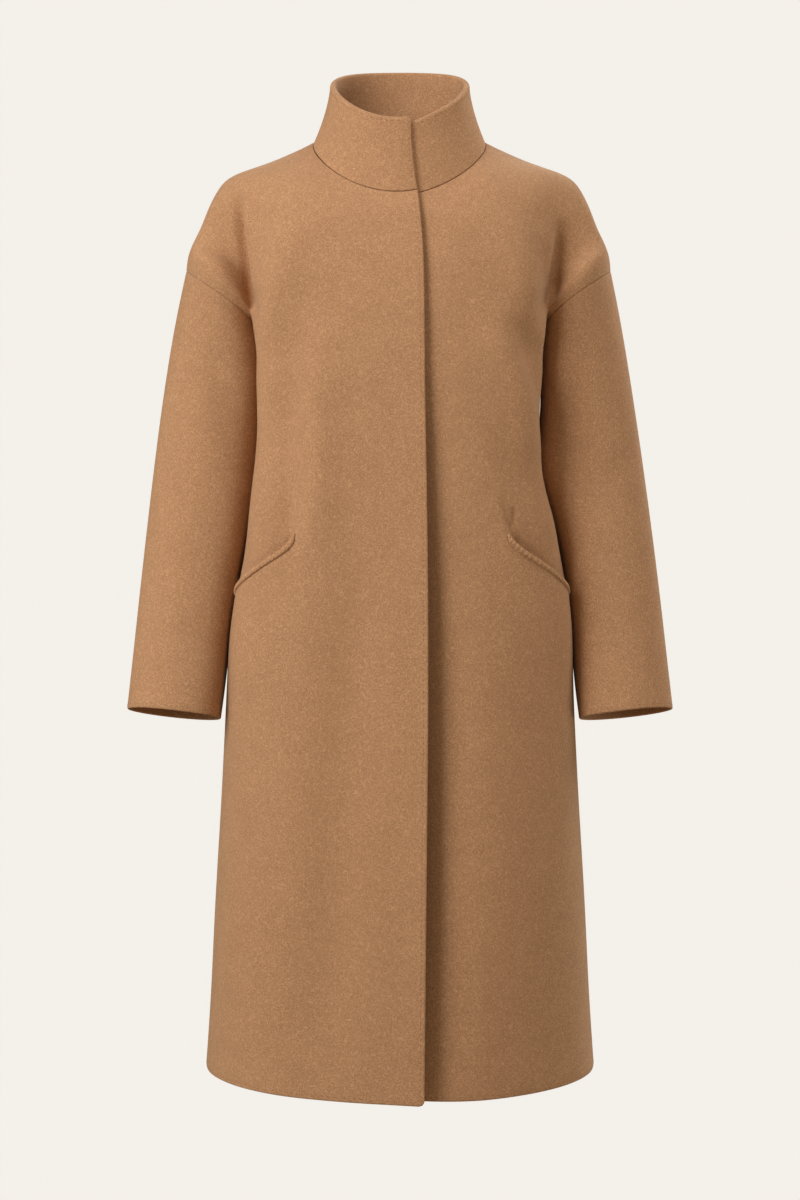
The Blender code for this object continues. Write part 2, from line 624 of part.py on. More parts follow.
def collar(foot):
    """A strip that stands on the neck seam, from the lapped right end round to the left one."""
    depth = np.where(foot[:, 1] < 0.0, NECK_SEAM.front, NECK_SEAM.back)
    turn = np.unwrap(np.arctan2(foot[:, 0] / NECK_SEAM.half_width, -foot[:, 1] / depth))
    lapped = foot - ring_round_neck(NECK_SEAM, turn)
    rim = ring_round_neck(COLLAR_RIM, turn) + lapped * LAP_AT_RIM
    rows = []
    for row in range(COLLAR_ROWS + 1):
        up = row / COLLAR_ROWS
        rise = 1.0 - (1.0 - up) ** COLLAR_FLARE
        flat = foot + (rim - foot) * np.array([rise, rise, up])[None]
        rows.append(flat)
    points = np.array(rows)[::-1]
    normal = normals_of(points)
    outward = points - points.mean(axis=(0, 1))
    if np.sum(normal * outward) < 0.0:
        normal = -normal
    outer = pulled_down(points[::-1])[::-1]
    wall("collar", outer, outer - normal * COLLAR_WALL)


def beside_slit(path, share, right):
    """Points and normals of the front along the slit, `share` of the band's width below it."""
    z = path[:, 1] - POCKET_BAND.down * share
    u = path[:, 0] - POCKET_BAND.inward * share
    points, normals = [], []
    for at_u, at_v in zip(u, level_v(z)):
        near_u = np.tile(at_u + POCKET_STEP * np.array([-1.0, 0.0, 1.0]), (3, 1))
        near_v = at_v + POCKET_STEP / 2.0 * np.array([-1.0, 0.0, 1.0])
        patch, patch_normal = shaped_front(near_u, near_v, right)
        points.append(patch[1, 1])
        normals.append(patch_normal[1, 1])
    return np.array(points), np.array(normals)


def pocket_edge(right):
    """A turned strip along the slit, lying on the front."""
    along = np.linspace(0.0, 1.0, POCKET_COLUMNS + 1)
    knots = np.linspace(0.0, 1.0, len(POCKET_SLIT))
    path = spline(knots, np.array(POCKET_SLIT), along)
    under, over = [], []
    for share, thickness in POCKET_PROFILE:
        points, normals = beside_slit(path, share, right)
        under.append(points + normals * POCKET_CLEARANCE)
        over.append(points + normals * (POCKET_CLEARANCE + thickness))
    under, over = np.array(under), np.array(over)
    if right:
        under, over = mirrored(under), mirrored(over)
    wall("pocket_edge_right" if right else "pocket_edge_left", over, under)


build()
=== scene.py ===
# %% [markdown]
# # A cocoon coat, filled out as if worn
# The coat is camel wool cloth: two fronts, a back, two sleeves, a stand collar and two turned
# pocket edges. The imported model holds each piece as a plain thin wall. Here each one gets its
# soft folds, its rolled edges, its stitches and its felted nap, on the same form and in the
# same place, so the pieces still meet at their seams.

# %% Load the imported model
from collections import namedtuple

import bpy
import numpy as np
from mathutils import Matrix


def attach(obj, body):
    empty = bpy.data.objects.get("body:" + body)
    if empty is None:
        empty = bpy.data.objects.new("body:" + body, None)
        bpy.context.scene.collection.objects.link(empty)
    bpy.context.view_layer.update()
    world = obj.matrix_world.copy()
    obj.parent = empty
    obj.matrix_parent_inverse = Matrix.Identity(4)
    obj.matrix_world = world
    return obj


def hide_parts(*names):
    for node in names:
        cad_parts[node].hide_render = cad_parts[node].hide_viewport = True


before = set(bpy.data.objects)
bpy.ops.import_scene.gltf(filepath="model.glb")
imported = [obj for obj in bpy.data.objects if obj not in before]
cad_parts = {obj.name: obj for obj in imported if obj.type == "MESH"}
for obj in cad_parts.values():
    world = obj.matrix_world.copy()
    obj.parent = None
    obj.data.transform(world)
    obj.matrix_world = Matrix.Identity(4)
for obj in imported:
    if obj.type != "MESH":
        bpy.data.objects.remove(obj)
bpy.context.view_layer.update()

# %% [markdown]
# A worn coat has no straight line in it, so its panels are drawn as smooth sheets through a
# few measured sections. A natural cubic spline is the curve that a thin bent strip takes
# between fixed points. It passes through every section and stays soft between them.

# %% Curves
def smooth(t):
    """Rises from 0 to 1 with level ends: three t squared less two t cubed."""
    t = np.clip(t, 0.0, 1.0)
    return t * t * (3.0 - 2.0 * t)


def spline(knots, values, at):
    """A natural cubic spline through values[k] at knots[k]. Between two knots it is the
    straight line plus a cubic, whose bend comes from one linear system for all the knots.

    With `at` of shape (rows, columns) and values of shape (knots, rows, 3), each row of the
    answer is read from its own curve.
    """
    knots = np.asarray(knots, float)
    values = np.asarray(values, float)
    step = np.diff(knots)
    size = len(knots)
    system = np.eye(size)
    right = np.zeros_like(values)
    for k in range(1, size - 1):
        system[k, k - 1:k + 2] = step[k - 1], 2.0 * (step[k - 1] + step[k]), step[k]
        rise_after = (values[k + 1] - values[k]) / step[k]
        rise_before = (values[k] - values[k - 1]) / step[k - 1]
        right[k] = 6.0 * (rise_after - rise_before)
    bend = np.linalg.solve(system, right.reshape(size, -1)).reshape(values.shape)
    at = np.asarray(at, float)
    k = np.clip(np.searchsorted(knots, at, side="right") - 1, 0, size - 2)
    width = step[k]
    after = (at - knots[k]) / width
    before = 1.0 - after
    own_row = (np.arange(at.shape[0])[:, None],) if at.ndim == 2 else ()
    low, high = (k,) + own_row, (k + 1,) + own_row
    extra = (1,) * (values[low].ndim - at.ndim)
    after, before, width = (a.reshape(a.shape + extra) for a in (after, before, width))
    straight = before * values[low] + after * values[high]
    curved = (before ** 3 - before) * bend[low] + (after ** 3 - after) * bend[high]
    return straight + curved * width ** 2 / 6.0


def run_along(points, axis=0):
    """The distance along each line of points from its first one: the sum of its steps."""
    steps = np.linalg.norm(np.diff(points, axis=axis), axis=-1)
    start = np.zeros_like(np.take(steps, [0], axis=axis))
    return np.concatenate([start, np.cumsum(steps, axis=axis)], axis=axis)


def mirrored(points):
    return points * np.array([-1.0, 1.0, 1.0])


def unit(vectors):
    """The same directions, each with a length of 1."""
    return vectors / np.linalg.norm(vectors, axis=-1, keepdims=True)


def normals_of(points):
    """Unit normals of a grid of points: the cross product of its two directions."""
    return unit(np.cross(np.gradient(points, axis=1), np.gradient(points, axis=0)))


# %% [markdown]
# The neck seam and the collar's rim are two rings round the neck. Both slope down to the
# front, and the shoulder seam and the armhole start and end on points measured in the photo.

# %% Neck, shoulder and armhole
NeckRing = namedtuple(
    "NeckRing", "half_width front back shift height slope front_droop back_droop")
NECK_SEAM = NeckRing(0.0993, 0.0885, 0.066, 0.0, 0.0060, 0.42, 3.1, 3.1)
COLLAR_RIM = NeckRing(0.0800, 0.0840, 0.074, 0.006, 0.0752, 0.42, 2.1, 1.5)
SHOULDER_ANGLE = np.radians(100.5)
NECK_REACH = 0.25

SHOULDER_SEAM = np.array([
    (0.148, 0.013, -0.012), (0.184, 0.014, -0.025), (0.1985, 0.014, -0.0325),
    (0.2105, 0.014, -0.047), (0.216, 0.0135, -0.059), (0.2345, 0.012, -0.115),
])
ARMHOLE_OUTER = np.array([0.2444, 0.012, -0.1393])
ARMHOLE_INNER = np.array([0.1545, 0.012, -0.2170])
ARMHOLE_MIDDLE = (ARMHOLE_OUTER + ARMHOLE_INNER) / 2.0
ARMHOLE_FRONT, ARMHOLE_BACK = 0.072, 0.085
ARMHOLE_RISE, ARMHOLE_SAG = 0.009, 0.0035


def ring_round_neck(ring, angle):
    """An oval whose height falls with y along a slope, and droops below it with y squared."""
    depth = np.where(np.cos(angle) > 0.0, ring.front, ring.back)
    y = ring.shift - depth * np.cos(angle)
    droop = np.where(y < 0.0, ring.front_droop, ring.back_droop)
    z = ring.height + ring.slope * y - droop * y * y
    return np.stack([ring.half_width * np.sin(angle), y, z], -1)


def armhole(angle):
    """A slanted oval, 0 at the shoulder and pi at the underarm, raised at its front and back
    by the sine and let down a little by the sine of twice the angle."""
    angle = np.asarray(angle, float)[..., None]
    reach = (ARMHOLE_OUTER - ARMHOLE_INNER) / 2.0
    depth = np.where(angle > 0.0, ARMHOLE_FRONT, ARMHOLE_BACK)
    sideways = np.array([0.0, -1.0, 0.0]) * depth * np.sin(angle)
    upwards = ARMHOLE_RISE * np.abs(np.sin(angle)) - ARMHOLE_SAG * np.sin(2.0 * np.abs(angle))
    around = ARMHOLE_MIDDLE + reach * np.cos(angle) + sideways
    return around + np.array([0.0, 0.0, 1.0]) * upwards


# %% [markdown]
# Above the underarm a panel goes from the middle of the chest round the outer side of the
# chest, into the crease before the arm, and over the arm. Below it the coat is a rounded oval
# that the sleeve presses in at the side. The sheet between those sections is worked out.

# %% Sections of the body
Upper = namedtuple("Upper", "v middle chest lobe crease arm")
FRONT_UPPER = [
    Upper(0.25, (-0.101, -0.076), (0.062, -0.094, -0.068), (0.098, -0.074, -0.045),
          (0.12, -0.053, -0.031), (0.137, -0.023, -0.018)),
    Upper(0.483, (-0.109, -0.098), (0.085, -0.103, -0.091), (0.13, -0.082, -0.07),
          (0.162, -0.054, -0.052), (0.185, -0.022, -0.035)),
    Upper(0.625, (-0.114, -0.113), (0.094, -0.1065, -0.109), (0.141, -0.087, -0.093),
          (0.172, -0.054, -0.077), (0.203, -0.024, -0.056)),
    Upper(0.883, (-0.1205, -0.138), (0.103, -0.11, -0.135), (0.15, -0.089, -0.124),
          (0.1715, -0.05, -0.109), (0.216, -0.027, -0.088)),
    Upper(1.0, (-0.123, -0.15), (0.106, -0.111, -0.148), (0.152, -0.089, -0.141),
          (0.17, -0.048, -0.13), (0.222, -0.031, -0.106)),
    Upper(1.25, (-0.1275, -0.172), (0.109, -0.112, -0.171), (0.154, -0.087, -0.166),
          (0.1675, -0.045, -0.152), (0.21, -0.0525, -0.129)),
    Upper(1.5, (-0.131, -0.195), (0.111, -0.113, -0.195), (0.155, -0.085, -0.19),
          (0.166, -0.045, -0.175), (0.187, -0.057, -0.158)),
    Upper(1.75, (-0.1335, -0.216), (0.112, -0.1135, -0.217), (0.156, -0.082, -0.212),
          (0.165, -0.054, -0.197), (0.1665, -0.047, -0.19)),
    Upper(2.0, (-0.1358, -0.238), (0.1125, -0.114, -0.239), (0.156, -0.077, -0.235),
          (0.16, -0.05, -0.228), (0.158, -0.02, -0.222)),
]
BACK_UPPER = [
    Upper(0.25, (0.085, -0.014), (0.062, 0.08, -0.01), (0.098, 0.066, -0.01),
          (0.12, 0.052, -0.01), (0.137, 0.033, -0.011)),
    Upper(0.483, (0.097, -0.046), (0.085, 0.094, -0.042), (0.13, 0.082, -0.037),
          (0.162, 0.065, -0.033), (0.185, 0.041, -0.03)),
    Upper(0.625, (0.1035, -0.066), (0.095, 0.101, -0.064), (0.141, 0.09, -0.059),
          (0.175, 0.074, -0.055), (0.203, 0.05, -0.051)),
    Upper(0.883, (0.113, -0.107), (0.105, 0.11, -0.106), (0.152, 0.098, -0.101),
          (0.183, 0.081, -0.095), (0.217, 0.058, -0.086)),
    Upper(1.0, (0.1165, -0.126), (0.108, 0.1125, -0.125), (0.155, 0.1, -0.121),
          (0.181, 0.083, -0.115), (0.224, 0.063, -0.104)),
    Upper(1.25, (0.1205, -0.155), (0.11, 0.1155, -0.155), (0.156, 0.1, -0.152),
          (0.175, 0.084, -0.143), (0.211, 0.084, -0.128)),
    Upper(1.5, (0.123, -0.182), (0.111, 0.116, -0.183), (0.156, 0.097, -0.18),
          (0.168, 0.081, -0.17), (0.187, 0.0925, -0.157)),
    Upper(1.75, (0.1245, -0.208), (0.112, 0.1155, -0.21), (0.155, 0.092, -0.207),
          (0.1645, 0.08, -0.196), (0.1665, 0.077, -0.19)),
    Upper(2.0, (0.126, -0.234), (0.1125, 0.1125, -0.236), (0.154, 0.082, -0.233),
          (0.157, 0.062, -0.226), (0.156, 0.036, -0.221)),
]

HEM_Z = -1.052
Level = namedtuple("Level", "z front back half_width pinch fullness")
LEVELS = [
    Level(-0.262, 0.1375, 0.128, 0.1850, 0.0350, 2.35),
    Level(-0.320, 0.1420, 0.131, 0.1830, 0.0310, 2.35),
    Level(-0.395, 0.1470, 0.136, 0.1930, 0.0340, 2.3),
    Level(-0.470, 0.1510, 0.140, 0.2053, 0.0343, 2.2),
    Level(-0.535, 0.1530, 0.143, 0.2190, 0.0325, 2.15),
    Level(-0.630, 0.1560, 0.147, 0.2148, 0.0165, 2.2),
    Level(-0.747, 0.1590, 0.151, 0.2098, 0.0045, 2.35),
    Level(-0.862, 0.1620, 0.154, 0.2125, 0.0, 2.3),
    Level(-0.977, 0.1640, 0.156, 0.2185, 0.0, 2.1),
    Level(HEM_Z, 0.1650, 0.158, 0.2235, 0.0, 2.0),
]
PINCH_FROM = 0.52
SIDE_Y = 0.012
KNOTS = np.array([0.0, 0.2, 0.42, 0.62, 0.74, 0.86, 1.0])
BESIDE_MIDDLE = np.array([0.48, 0.20, 0.30])
SHOULDER_TRAVEL, ARMHOLE_TRAVEL, SIDE_TRAVEL = 0.16, 0.14, ARMHOLE_INNER[2] - HEM_Z


def level_section(level, u, front):
    """A quarter of a rounded oval at one height: |sin| and |cos| to a power that fills its
    corners, pressed in towards the side."""
    angle = u * np.pi / 2.0
    power = level.fullness
    swell = (np.sin(angle) ** power + np.cos(angle) ** power) ** (-1.0 / power)
    x = level.half_width * np.sin(angle) * swell
    x = x - level.pinch * smooth((u - PINCH_FROM) / (1.0 - PINCH_FROM))
    if front:
        y = SIDE_Y - (level.front + SIDE_Y) * np.cos(angle) * swell
    else:
        y = SIDE_Y + (level.back - SIDE_Y) * np.cos(angle) * swell
    return np.stack([x, y, np.full_like(x, level.z)], -1)


def level_v(z):
    return 2.0 + (ARMHOLE_INNER[2] - z) / SIDE_TRAVEL


def travel(v):
    """How far down the panel a row lies, in metres, so that the spline runs at an even pace."""
    shoulder = np.clip(v, 0.0, 1.0) * SHOULDER_TRAVEL
    arm = np.clip(v - 1.0, 0.0, 1.0) * ARMHOLE_TRAVEL
    side = np.clip(v - 2.0, 0.0, 1.0) * SIDE_TRAVEL
    return shoulder + arm + side


def outer_seam(v, front):
    """A panel's outer edge: the shoulder seam for v up to 1, the armhole up to 2, the side
    seam up to 3."""
    v = np.asarray(v, float)
    neck_point = ring_round_neck(NECK_SEAM, SHOULDER_ANGLE)
    shoulder = np.vstack([neck_point, SHOULDER_SEAM, ARMHOLE_OUTER])
    along = run_along(shoulder)
    on_shoulder = spline(along / along[-1], shoulder, np.clip(v, 0.0, 1.0))
    turn = np.pi * np.clip(v - 1.0, 0.0, 1.0)
    on_armhole = armhole(turn if front else -turn)
    sections = np.array([level_section(level, np.ones(1), True)[0] for level in LEVELS])
    side_v = np.append(2.0, [level_v(level.z) for level in LEVELS])
    on_side = spline(side_v, np.vstack([ARMHOLE_INNER, sections]), np.clip(v, 2.0, 3.0))
    above = np.where((v < 1.0)[..., None], on_shoulder, on_armhole)
    return np.where((v < 2.0)[..., None], above, on_side)


def neck_angle(u, front):
    return u * SHOULDER_ANGLE if front else np.pi - u * (np.pi - SHOULDER_ANGLE)


def control_net(front):
    """The sections as rows of points, from one outer seam through the middle to the other."""
    v, rows = [0.0], [ring_round_neck(NECK_SEAM, neck_angle(KNOTS, front))]
    for section in FRONT_UPPER if front else BACK_UPPER:
        middle = np.array([0.0, *section.middle])
        chest = np.array(section.chest)
        beside = middle + (chest - middle) * BESIDE_MIDDLE
        edge = outer_seam(section.v, front)
        points = [middle, beside, chest, section.lobe, section.crease, section.arm, edge]
        v.append(section.v)
        rows.append(np.array(points))
    for level in LEVELS:
        v.append(level_v(level.z))
        rows.append(level_section(level, KNOTS, front))
    half = np.array(rows)
    return np.array(v), np.concatenate([mirrored(half[:, :0:-1]), half], axis=1)


def body_sheet(u, v, front):
    """The outer face of the body at each u of each row v: the net is splined down its columns,
    its edges are put on the seams, and then it is splined along each row."""
    v = np.asarray(v, float)
    net_v, net = control_net(front)
    rows = spline(travel(net_v), net, travel(v))
    rows[:, -1] = outer_seam(v, front)
    rows[:, 0] = mirrored(rows[:, -1])
    both = np.concatenate([-KNOTS[:0:-1], KNOTS])
    points = spline(both, rows.transpose(1, 0, 2), u)
    neck = ring_round_neck(NECK_SEAM, neck_angle(u, front))
    seam = spline(both, np.repeat(net[0][:, None], len(v), axis=1), u)
    near_neck = 1.0 - smooth(v / NECK_REACH)[:, None, None]
    return points + (neck - seam) * near_neck


# %% [markdown]
# A worn coat is never quite even. The hem hangs lower in front and behind, and the whole coat
# leans a little. Both are small moves of finished points, so every piece takes them alike.

# %% Hang and sway
HEM_DIP, HEM_REACH = 0.0052, 0.15
SWAY, SWAY_Z, SWAY_REACH = 0.0022, -0.24, 0.20
BULGES = np.array([  # height, and how far out
    (-0.680, 0.0), (-0.600, 0.0012), (-0.530, 0.0050), (-0.460, 0.0065),
    (-0.415, 0.0030), (-0.366, -0.0035), (-0.335, 0.0015), (-0.290, 0.0085),
    (-0.240, 0.0080), (-0.200, 0.0030), (-0.150, 0.0),
])
BULGE_IN, BULGE_TOP, BULGE_OUT = 0.05, 0.165, 0.25


def hem_dip(points):
    """Lowers the last rows a little at the front and back, as the hem hangs."""
    dip = HEM_DIP * np.abs(points[..., 1] - SIDE_Y) / LEVELS[-1].front
    down = smooth((HEM_Z + HEM_REACH - points[..., 2]) / HEM_REACH)
    return points - np.stack([0.0 * dip, 0.0 * dip, dip * down], -1)


def swayed(points):
    """The worn coat leans a little to the wearer's right, most at the height SWAY_Z. On the
    wearer's left the crease beside the sleeve bulges out, most at BULGE_TOP."""
    x, z = points[..., 0], points[..., 2]
    heights = BULGES[:, 0]
    out = spline(heights, BULGES[:, 1], np.clip(z, heights[0], heights[-1]))
    out = out * smooth((x - BULGE_IN) / (BULGE_TOP - BULGE_IN))
    out = out * smooth((BULGE_OUT - x) / (BULGE_OUT - BULGE_TOP))
    sway = SWAY * np.exp(-((z - SWAY_Z) / SWAY_REACH) ** 2)
    return points + np.stack([out - sway, 0.0 * sway, 0.0 * sway], -1)


# %% [markdown]
# Cloth is a wall, so each sheet gets a second layer below it. At an edge the two layers come
# together on a half circle, as a turned edge rolls over. Along a seam the roll is tight, and
# two such edges side by side make the fine groove that a pressed seam has.

# %% The wall of cloth
WOOL = 0.0032  # thickness of the cloth
SEAM_ROLL, EDGE_ROLL = 0.0012, 0.0020
Roll = namedtuple("Roll", "top bottom first last")  # radius at each side of a grid
QUARTER = 1.0 - np.cos(np.linspace(0.0, np.pi / 2.0, 6))  # close places on a rolled edge


def ends_fine(count, first, last, length):
    """Places from 0 to 1: even ones, with a quarter circle of close ones at each end for an
    edge that rolls over with that radius."""
    start, stop = first / length * QUARTER, 1.0 - last / length * QUARTER
    even = np.linspace(start[-1], stop[-1], count)
    return np.concatenate([start[:-1], even, stop[-2::-1]])


def parting(points, roll, axis):
    """How far the two layers stand apart, from 0 at an edge to 1 past its roll: the height of
    a half circle, by the distance along the grid."""
    along = run_along(points, axis)
    back = np.take(along, [-1], axis=axis) - along
    near_first = 1.0 - np.clip(along / roll[0], 0.0, 1.0)
    near_last = 1.0 - np.clip(back / roll[1], 0.0, 1.0)
    return np.sqrt(1.0 - near_first ** 2) * np.sqrt(1.0 - near_last ** 2)


def shown(name, data):
    """A new object in the scene, for a mesh, a light or a camera."""
    made = bpy.data.objects.new(name, data)
    bpy.context.scene.collection.objects.link(made)
    return made


def put(name, points, faces):
    """A mesh object at the origin, with its faces turned outward."""
    a, b, c, d = (points[faces[:, k]] for k in range(4))
    if np.sum(np.cross(a, b) * c + np.cross(a, c) * d) < 0.0:
        faces = faces[:, ::-1]
    mesh = bpy.data.meshes.new(name)
    mesh.from_pydata(points.tolist(), [], faces.tolist())
    mesh.shade_smooth()
    piece = shown(name, mesh)
    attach(piece, "root")
    print(f"{name}: {2 * len(faces)} triangles")
    return piece


def quads(number):
    """Four corner numbers for each cell of a grid."""
    corners = [number[:-1, :-1], number[1:, :-1], number[1:, 1:], number[:-1, 1:]]
    return np.stack(corners, -1).reshape(-1, 4)


def cloth(name, outer, normal, thickness, roll, tube=False, shallow=0.0):
    """A closed shell under the grid `outer`: a middle layer half a thickness below it, and two
    layers that part from it by half a thickness, except at the edges, where they meet. Where
    `shallow` is 1 the middle layer lies on the grid itself, so that two pieces close up."""
    apart = parting(outer, (roll.top, roll.bottom), 0)
    if not tube:
        apart = apart * parting(outer, (roll.first, roll.last), 1)
    half = np.asarray(thickness) / 2.0
    depth = half * (1.0 - np.asarray(shallow))
    top = outer - normal * np.maximum(depth - half * apart, 0.0)[..., None]
    bottom = outer - normal * (depth + half * apart)[..., None]
    rows, columns = outer.shape[:2]
    number = np.arange(rows * columns).reshape(rows, columns)
    inside = np.zeros((rows, columns), bool)
    inside[1:-1, slice(None) if tube else slice(1, -1)] = True
    under = number.copy()
    under[inside] = rows * columns + np.arange(inside.sum())
    points = np.concatenate([top.reshape(-1, 3), bottom[inside]])
    if tube:
        number = np.concatenate([number, number[:, :1]], axis=1)
        under = np.concatenate([under, under[:, :1]], axis=1)
    faces = np.concatenate([quads(number), quads(under)[:, ::-1]])
    return put(name, swayed(points), faces)


# %% [markdown]
# At the armhole a sleeve meets a panel at an angle, and their walls would part or cross. So
# both edges sink in one shared direction there. At the underarm, where the cloths lie nearly
# face to face, they close up on the seam line itself.

# %% The armhole seam
SEAM_NEAR = 0.006
FACING_RISE, FACING_TO, FACING_FADE = 0.08, 0.82, 0.14  # shares of the way round the armhole
UNDERARM_SHALLOW, UNDERARM_FROM, UNDERARM_WIDTH = 0.92, 0.80, 0.16
UNDERARM_DOWN = 0.15
ARM_AXIS = np.array([0.158, -0.084, -0.984])


def underarm(share):
    """How shallow a seam lies, by the share of the way round the armhole: not at all in front,
    and most at the underarm."""
    return UNDERARM_SHALLOW * smooth((share - UNDERARM_FROM) / UNDERARM_WIDTH)


def seam_facing(normal, angle, near):
    """Near the armhole seam both cloths sink the same way, square to the arm, so that their
    edges meet in one line. At the underarm each keeps its own way."""
    away = armhole(angle) - ARMHOLE_MIDDLE
    away = unit(away - (away @ ARM_AXIS)[..., None] * ARM_AXIS)
    share = np.abs(angle) / np.pi
    weight = smooth(share / FACING_RISE) * (1.0 - smooth((share - FACING_TO) / FACING_FADE))
    weight = (weight * near)[..., None]
    return unit(normal * (1.0 - weight) + away * weight)


def near_edge(points, axis, last):
    """1 at one edge of a grid, falling to 0 at SEAM_NEAR from it."""
    along = run_along(points, axis)
    if last:
        along = np.take(along, [-1], axis=axis) - along
    return 1.0 - smooth(along / SEAM_NEAR)


# %% [markdown]
# The right front laps over the left one. Its edge is a slightly bowed line, and the cloth
# rises a little towards it, while the left front sinks to pass underneath. The fronts carry
# the largest folds, each a soft ridge or trough along a line.

# %% Measures of the fronts
UNDERLAP = 0.035
POCKET_SLIT = np.array([  # u and z of the slit, from its inner end
    (0.385, -0.436), (0.425, -0.4514), (0.500, -0.4663),
    (0.580, -0.480), (0.665, -0.4925), (0.760, -0.504),
])
HOLLOW, HOLLOW_UP = 0.0062, 0.038  # broad hollow over the slit
RECESS, RECESS_UP = 0.0042, 0.010  # and the recess close behind its lip
RECESS_BELOW, RECESS_STEP = 0.0072, 0.0060
RAISED, RAISED_DOWN = 0.0022, 0.024
SLIT_COSINE = 0.87  # makes a height over the sloping slit a distance from it
SLIT_LEAD, SLIT_RISE, SLIT_TRAIL, SLIT_FALL = 0.01, 0.05, 0.02, 0.11  # its fading ends, in u
LIFT_FROM, LIFT_WIDTH, LIFT_POWER = 0.063, 0.093, 2.3
SINK_FROM, SINK_WIDTH, SINK_POWER, SINK_MOST = 0.095, 0.065, 1.6, 1.12
Lap = namedtuple("Lap", "z edge_x lift sink")  # the edge's place, and how far the fronts part
LAP = [
    Lap(-1.060, 0.0248, 0.0145, 0.0105),
    Lap(-0.830, 0.0275, 0.0160, 0.0130),
    Lap(-0.620, 0.0295, 0.0135, 0.0135),
    Lap(-0.460, 0.0300, 0.0098, 0.0125),
    Lap(-0.330, 0.0297, 0.0066, 0.0085),
    Lap(-0.220, 0.0290, 0.0046, 0.0056),
    Lap(-0.105, 0.0258, 0.0032, 0.0044),
    Lap(-0.055, 0.0207, 0.0025, 0.0036),
]
FOLD_FADE, FOLD_CLEAR = 0.5, 0.15
HEM_CORNER = 0.006  # radius of the right front's rounded hem corner
Fold = namedtuple("Fold", "x0 z0 x1 z1 width height")
FOLDS_RIGHT = [
    Fold(0.086, -0.240, 0.090, -0.430, 0.020, 0.0065),
    Fold(0.122, -0.265, 0.127, -0.440, 0.018, -0.0075),
    Fold(0.048, -0.460, 0.084, -1.000, 0.036, -0.0095),
    Fold(0.1100, -0.385, 0.1075, -0.433, 0.006, -0.0022),
    Fold(0.1830, -0.064, 0.1672, -0.166, 0.0050, -0.0098),
    Fold(0.1722, -0.064, 0.1570, -0.166, 0.0066, 0.0066),
    Fold(0.2060, -0.120, 0.1730, -0.170, 0.0110, 0.0024),
]
FOLDS_LEFT = [
    Fold(0.106, -0.205, 0.154, -0.370, 0.017, 0.0060),
    Fold(0.134, -0.200, 0.176, -0.345, 0.017, -0.0080),
    Fold(0.108, -0.500, 0.108, -0.980, 0.032, 0.0020),
    Fold(0.1135, -0.402, 0.1190, -0.432, 0.0026, -0.0030),
    Fold(0.1275, -0.410, 0.1205, -0.432, 0.0026, -0.0030),
    Fold(0.1835, -0.098, 0.1730, -0.168, 0.0065, -0.0090),
    Fold(0.1680, -0.098, 0.1620, -0.168, 0.0100, 0.0070),
]
POCKET_TOP, POCKET_BOTTOM = 2.18, 2.36  # the rows lie closest between these v
STAGES = [(0.0, 1.0, 40), (1.0, 2.0, 36), (2.0, POCKET_TOP, 40), (POCKET_TOP, POCKET_BOTTOM, 80)]
ROWS = [np.linspace(*stage, endpoint=False) for stage in STAGES]
ROWS = np.concatenate(ROWS + [np.linspace(POCKET_BOTTOM, 3.0, 120)])
FRONT_COLUMNS, FRONT_LENGTH = 136, 0.30


# %% [markdown]
# A fold is a bell curve across a line, which is the plainest soft ridge. The lap, the pocket's
# hollow and the folds all move the sheet along its own normal, so they add up to one height.

# %% Folds, lap and pocket hollow
def rows_of(roll_top, roll_bottom):
    """The rows of a panel, with close ones where its top and bottom edges roll."""
    top = roll_top / SHOULDER_TRAVEL * QUARTER
    bottom = 3.0 - roll_bottom / SIDE_TRAVEL * QUARTER
    between = ROWS[(ROWS > top[-1]) & (ROWS < bottom[-1])]
    return np.concatenate([top, between, bottom[::-1]])


def fold_height(x, z, folds):
    """The sum of soft ridges: a bell curve across each fold's line, faded at its two ends."""
    height = np.zeros_like(x)
    for fold in folds:
        dx, dz = fold.x1 - fold.x0, fold.z1 - fold.z0
        length = np.hypot(dx, dz)
        along = ((x - fold.x0) * dx + (z - fold.z0) * dz) / length ** 2
        aside = ((x - fold.x0) * dz - (z - fold.z0) * dx) / length / fold.width
        fade = smooth(0.5 + along / FOLD_FADE) * smooth(0.5 + (1.0 - along) / FOLD_FADE)
        height += fold.height * np.exp(-aside ** 2) * fade
    return height


def edge_column(v, edge_x):
    """The u at which each row reaches the given x near the middle, found in a few steps."""
    u = edge_x[:, None] / LEVELS[0].half_width
    for _ in range(6):
        u = u * edge_x[:, None] / body_sheet(u, v, True)[..., 0]
    return u


def lap_at(z):
    """The lap's edge, lift and sink at each height, splined between the rows of its table."""
    table = np.array(LAP)
    return spline(table[:, 0], table[:, 1:], np.clip(z.ravel(), table[0, 0], table[-1, 0]))


def pocket_relief(u, z, stepped):
    """The cloth is raised towards the slit from below. If it is stepped, it lies deeper behind
    the lip: a step down under it, and a rise above it in two bell curves."""
    slit_u, slit_z = POCKET_SLIT.T
    height = (z - np.interp(u, slit_u, slit_z)) * SLIT_COSINE
    ends = smooth((u - slit_u[0] + SLIT_LEAD) / SLIT_RISE)
    ends = ends * smooth((slit_u[-1] + SLIT_TRAIL - u) / SLIT_FALL)
    raised = RAISED * np.exp(-(np.maximum(-height, 0.0) / RAISED_DOWN) ** 2)
    if not stepped:
        return raised * ends
    step = smooth((height + RECESS_BELOW) / RECESS_STEP)
    above = np.maximum(height, 0.0)
    deep = HOLLOW * np.exp(-(above / HOLLOW_UP) ** 2) + RECESS * np.exp(-(above / RECESS_UP) ** 2)
    return (raised * (1.0 - step) - deep * step) * ends


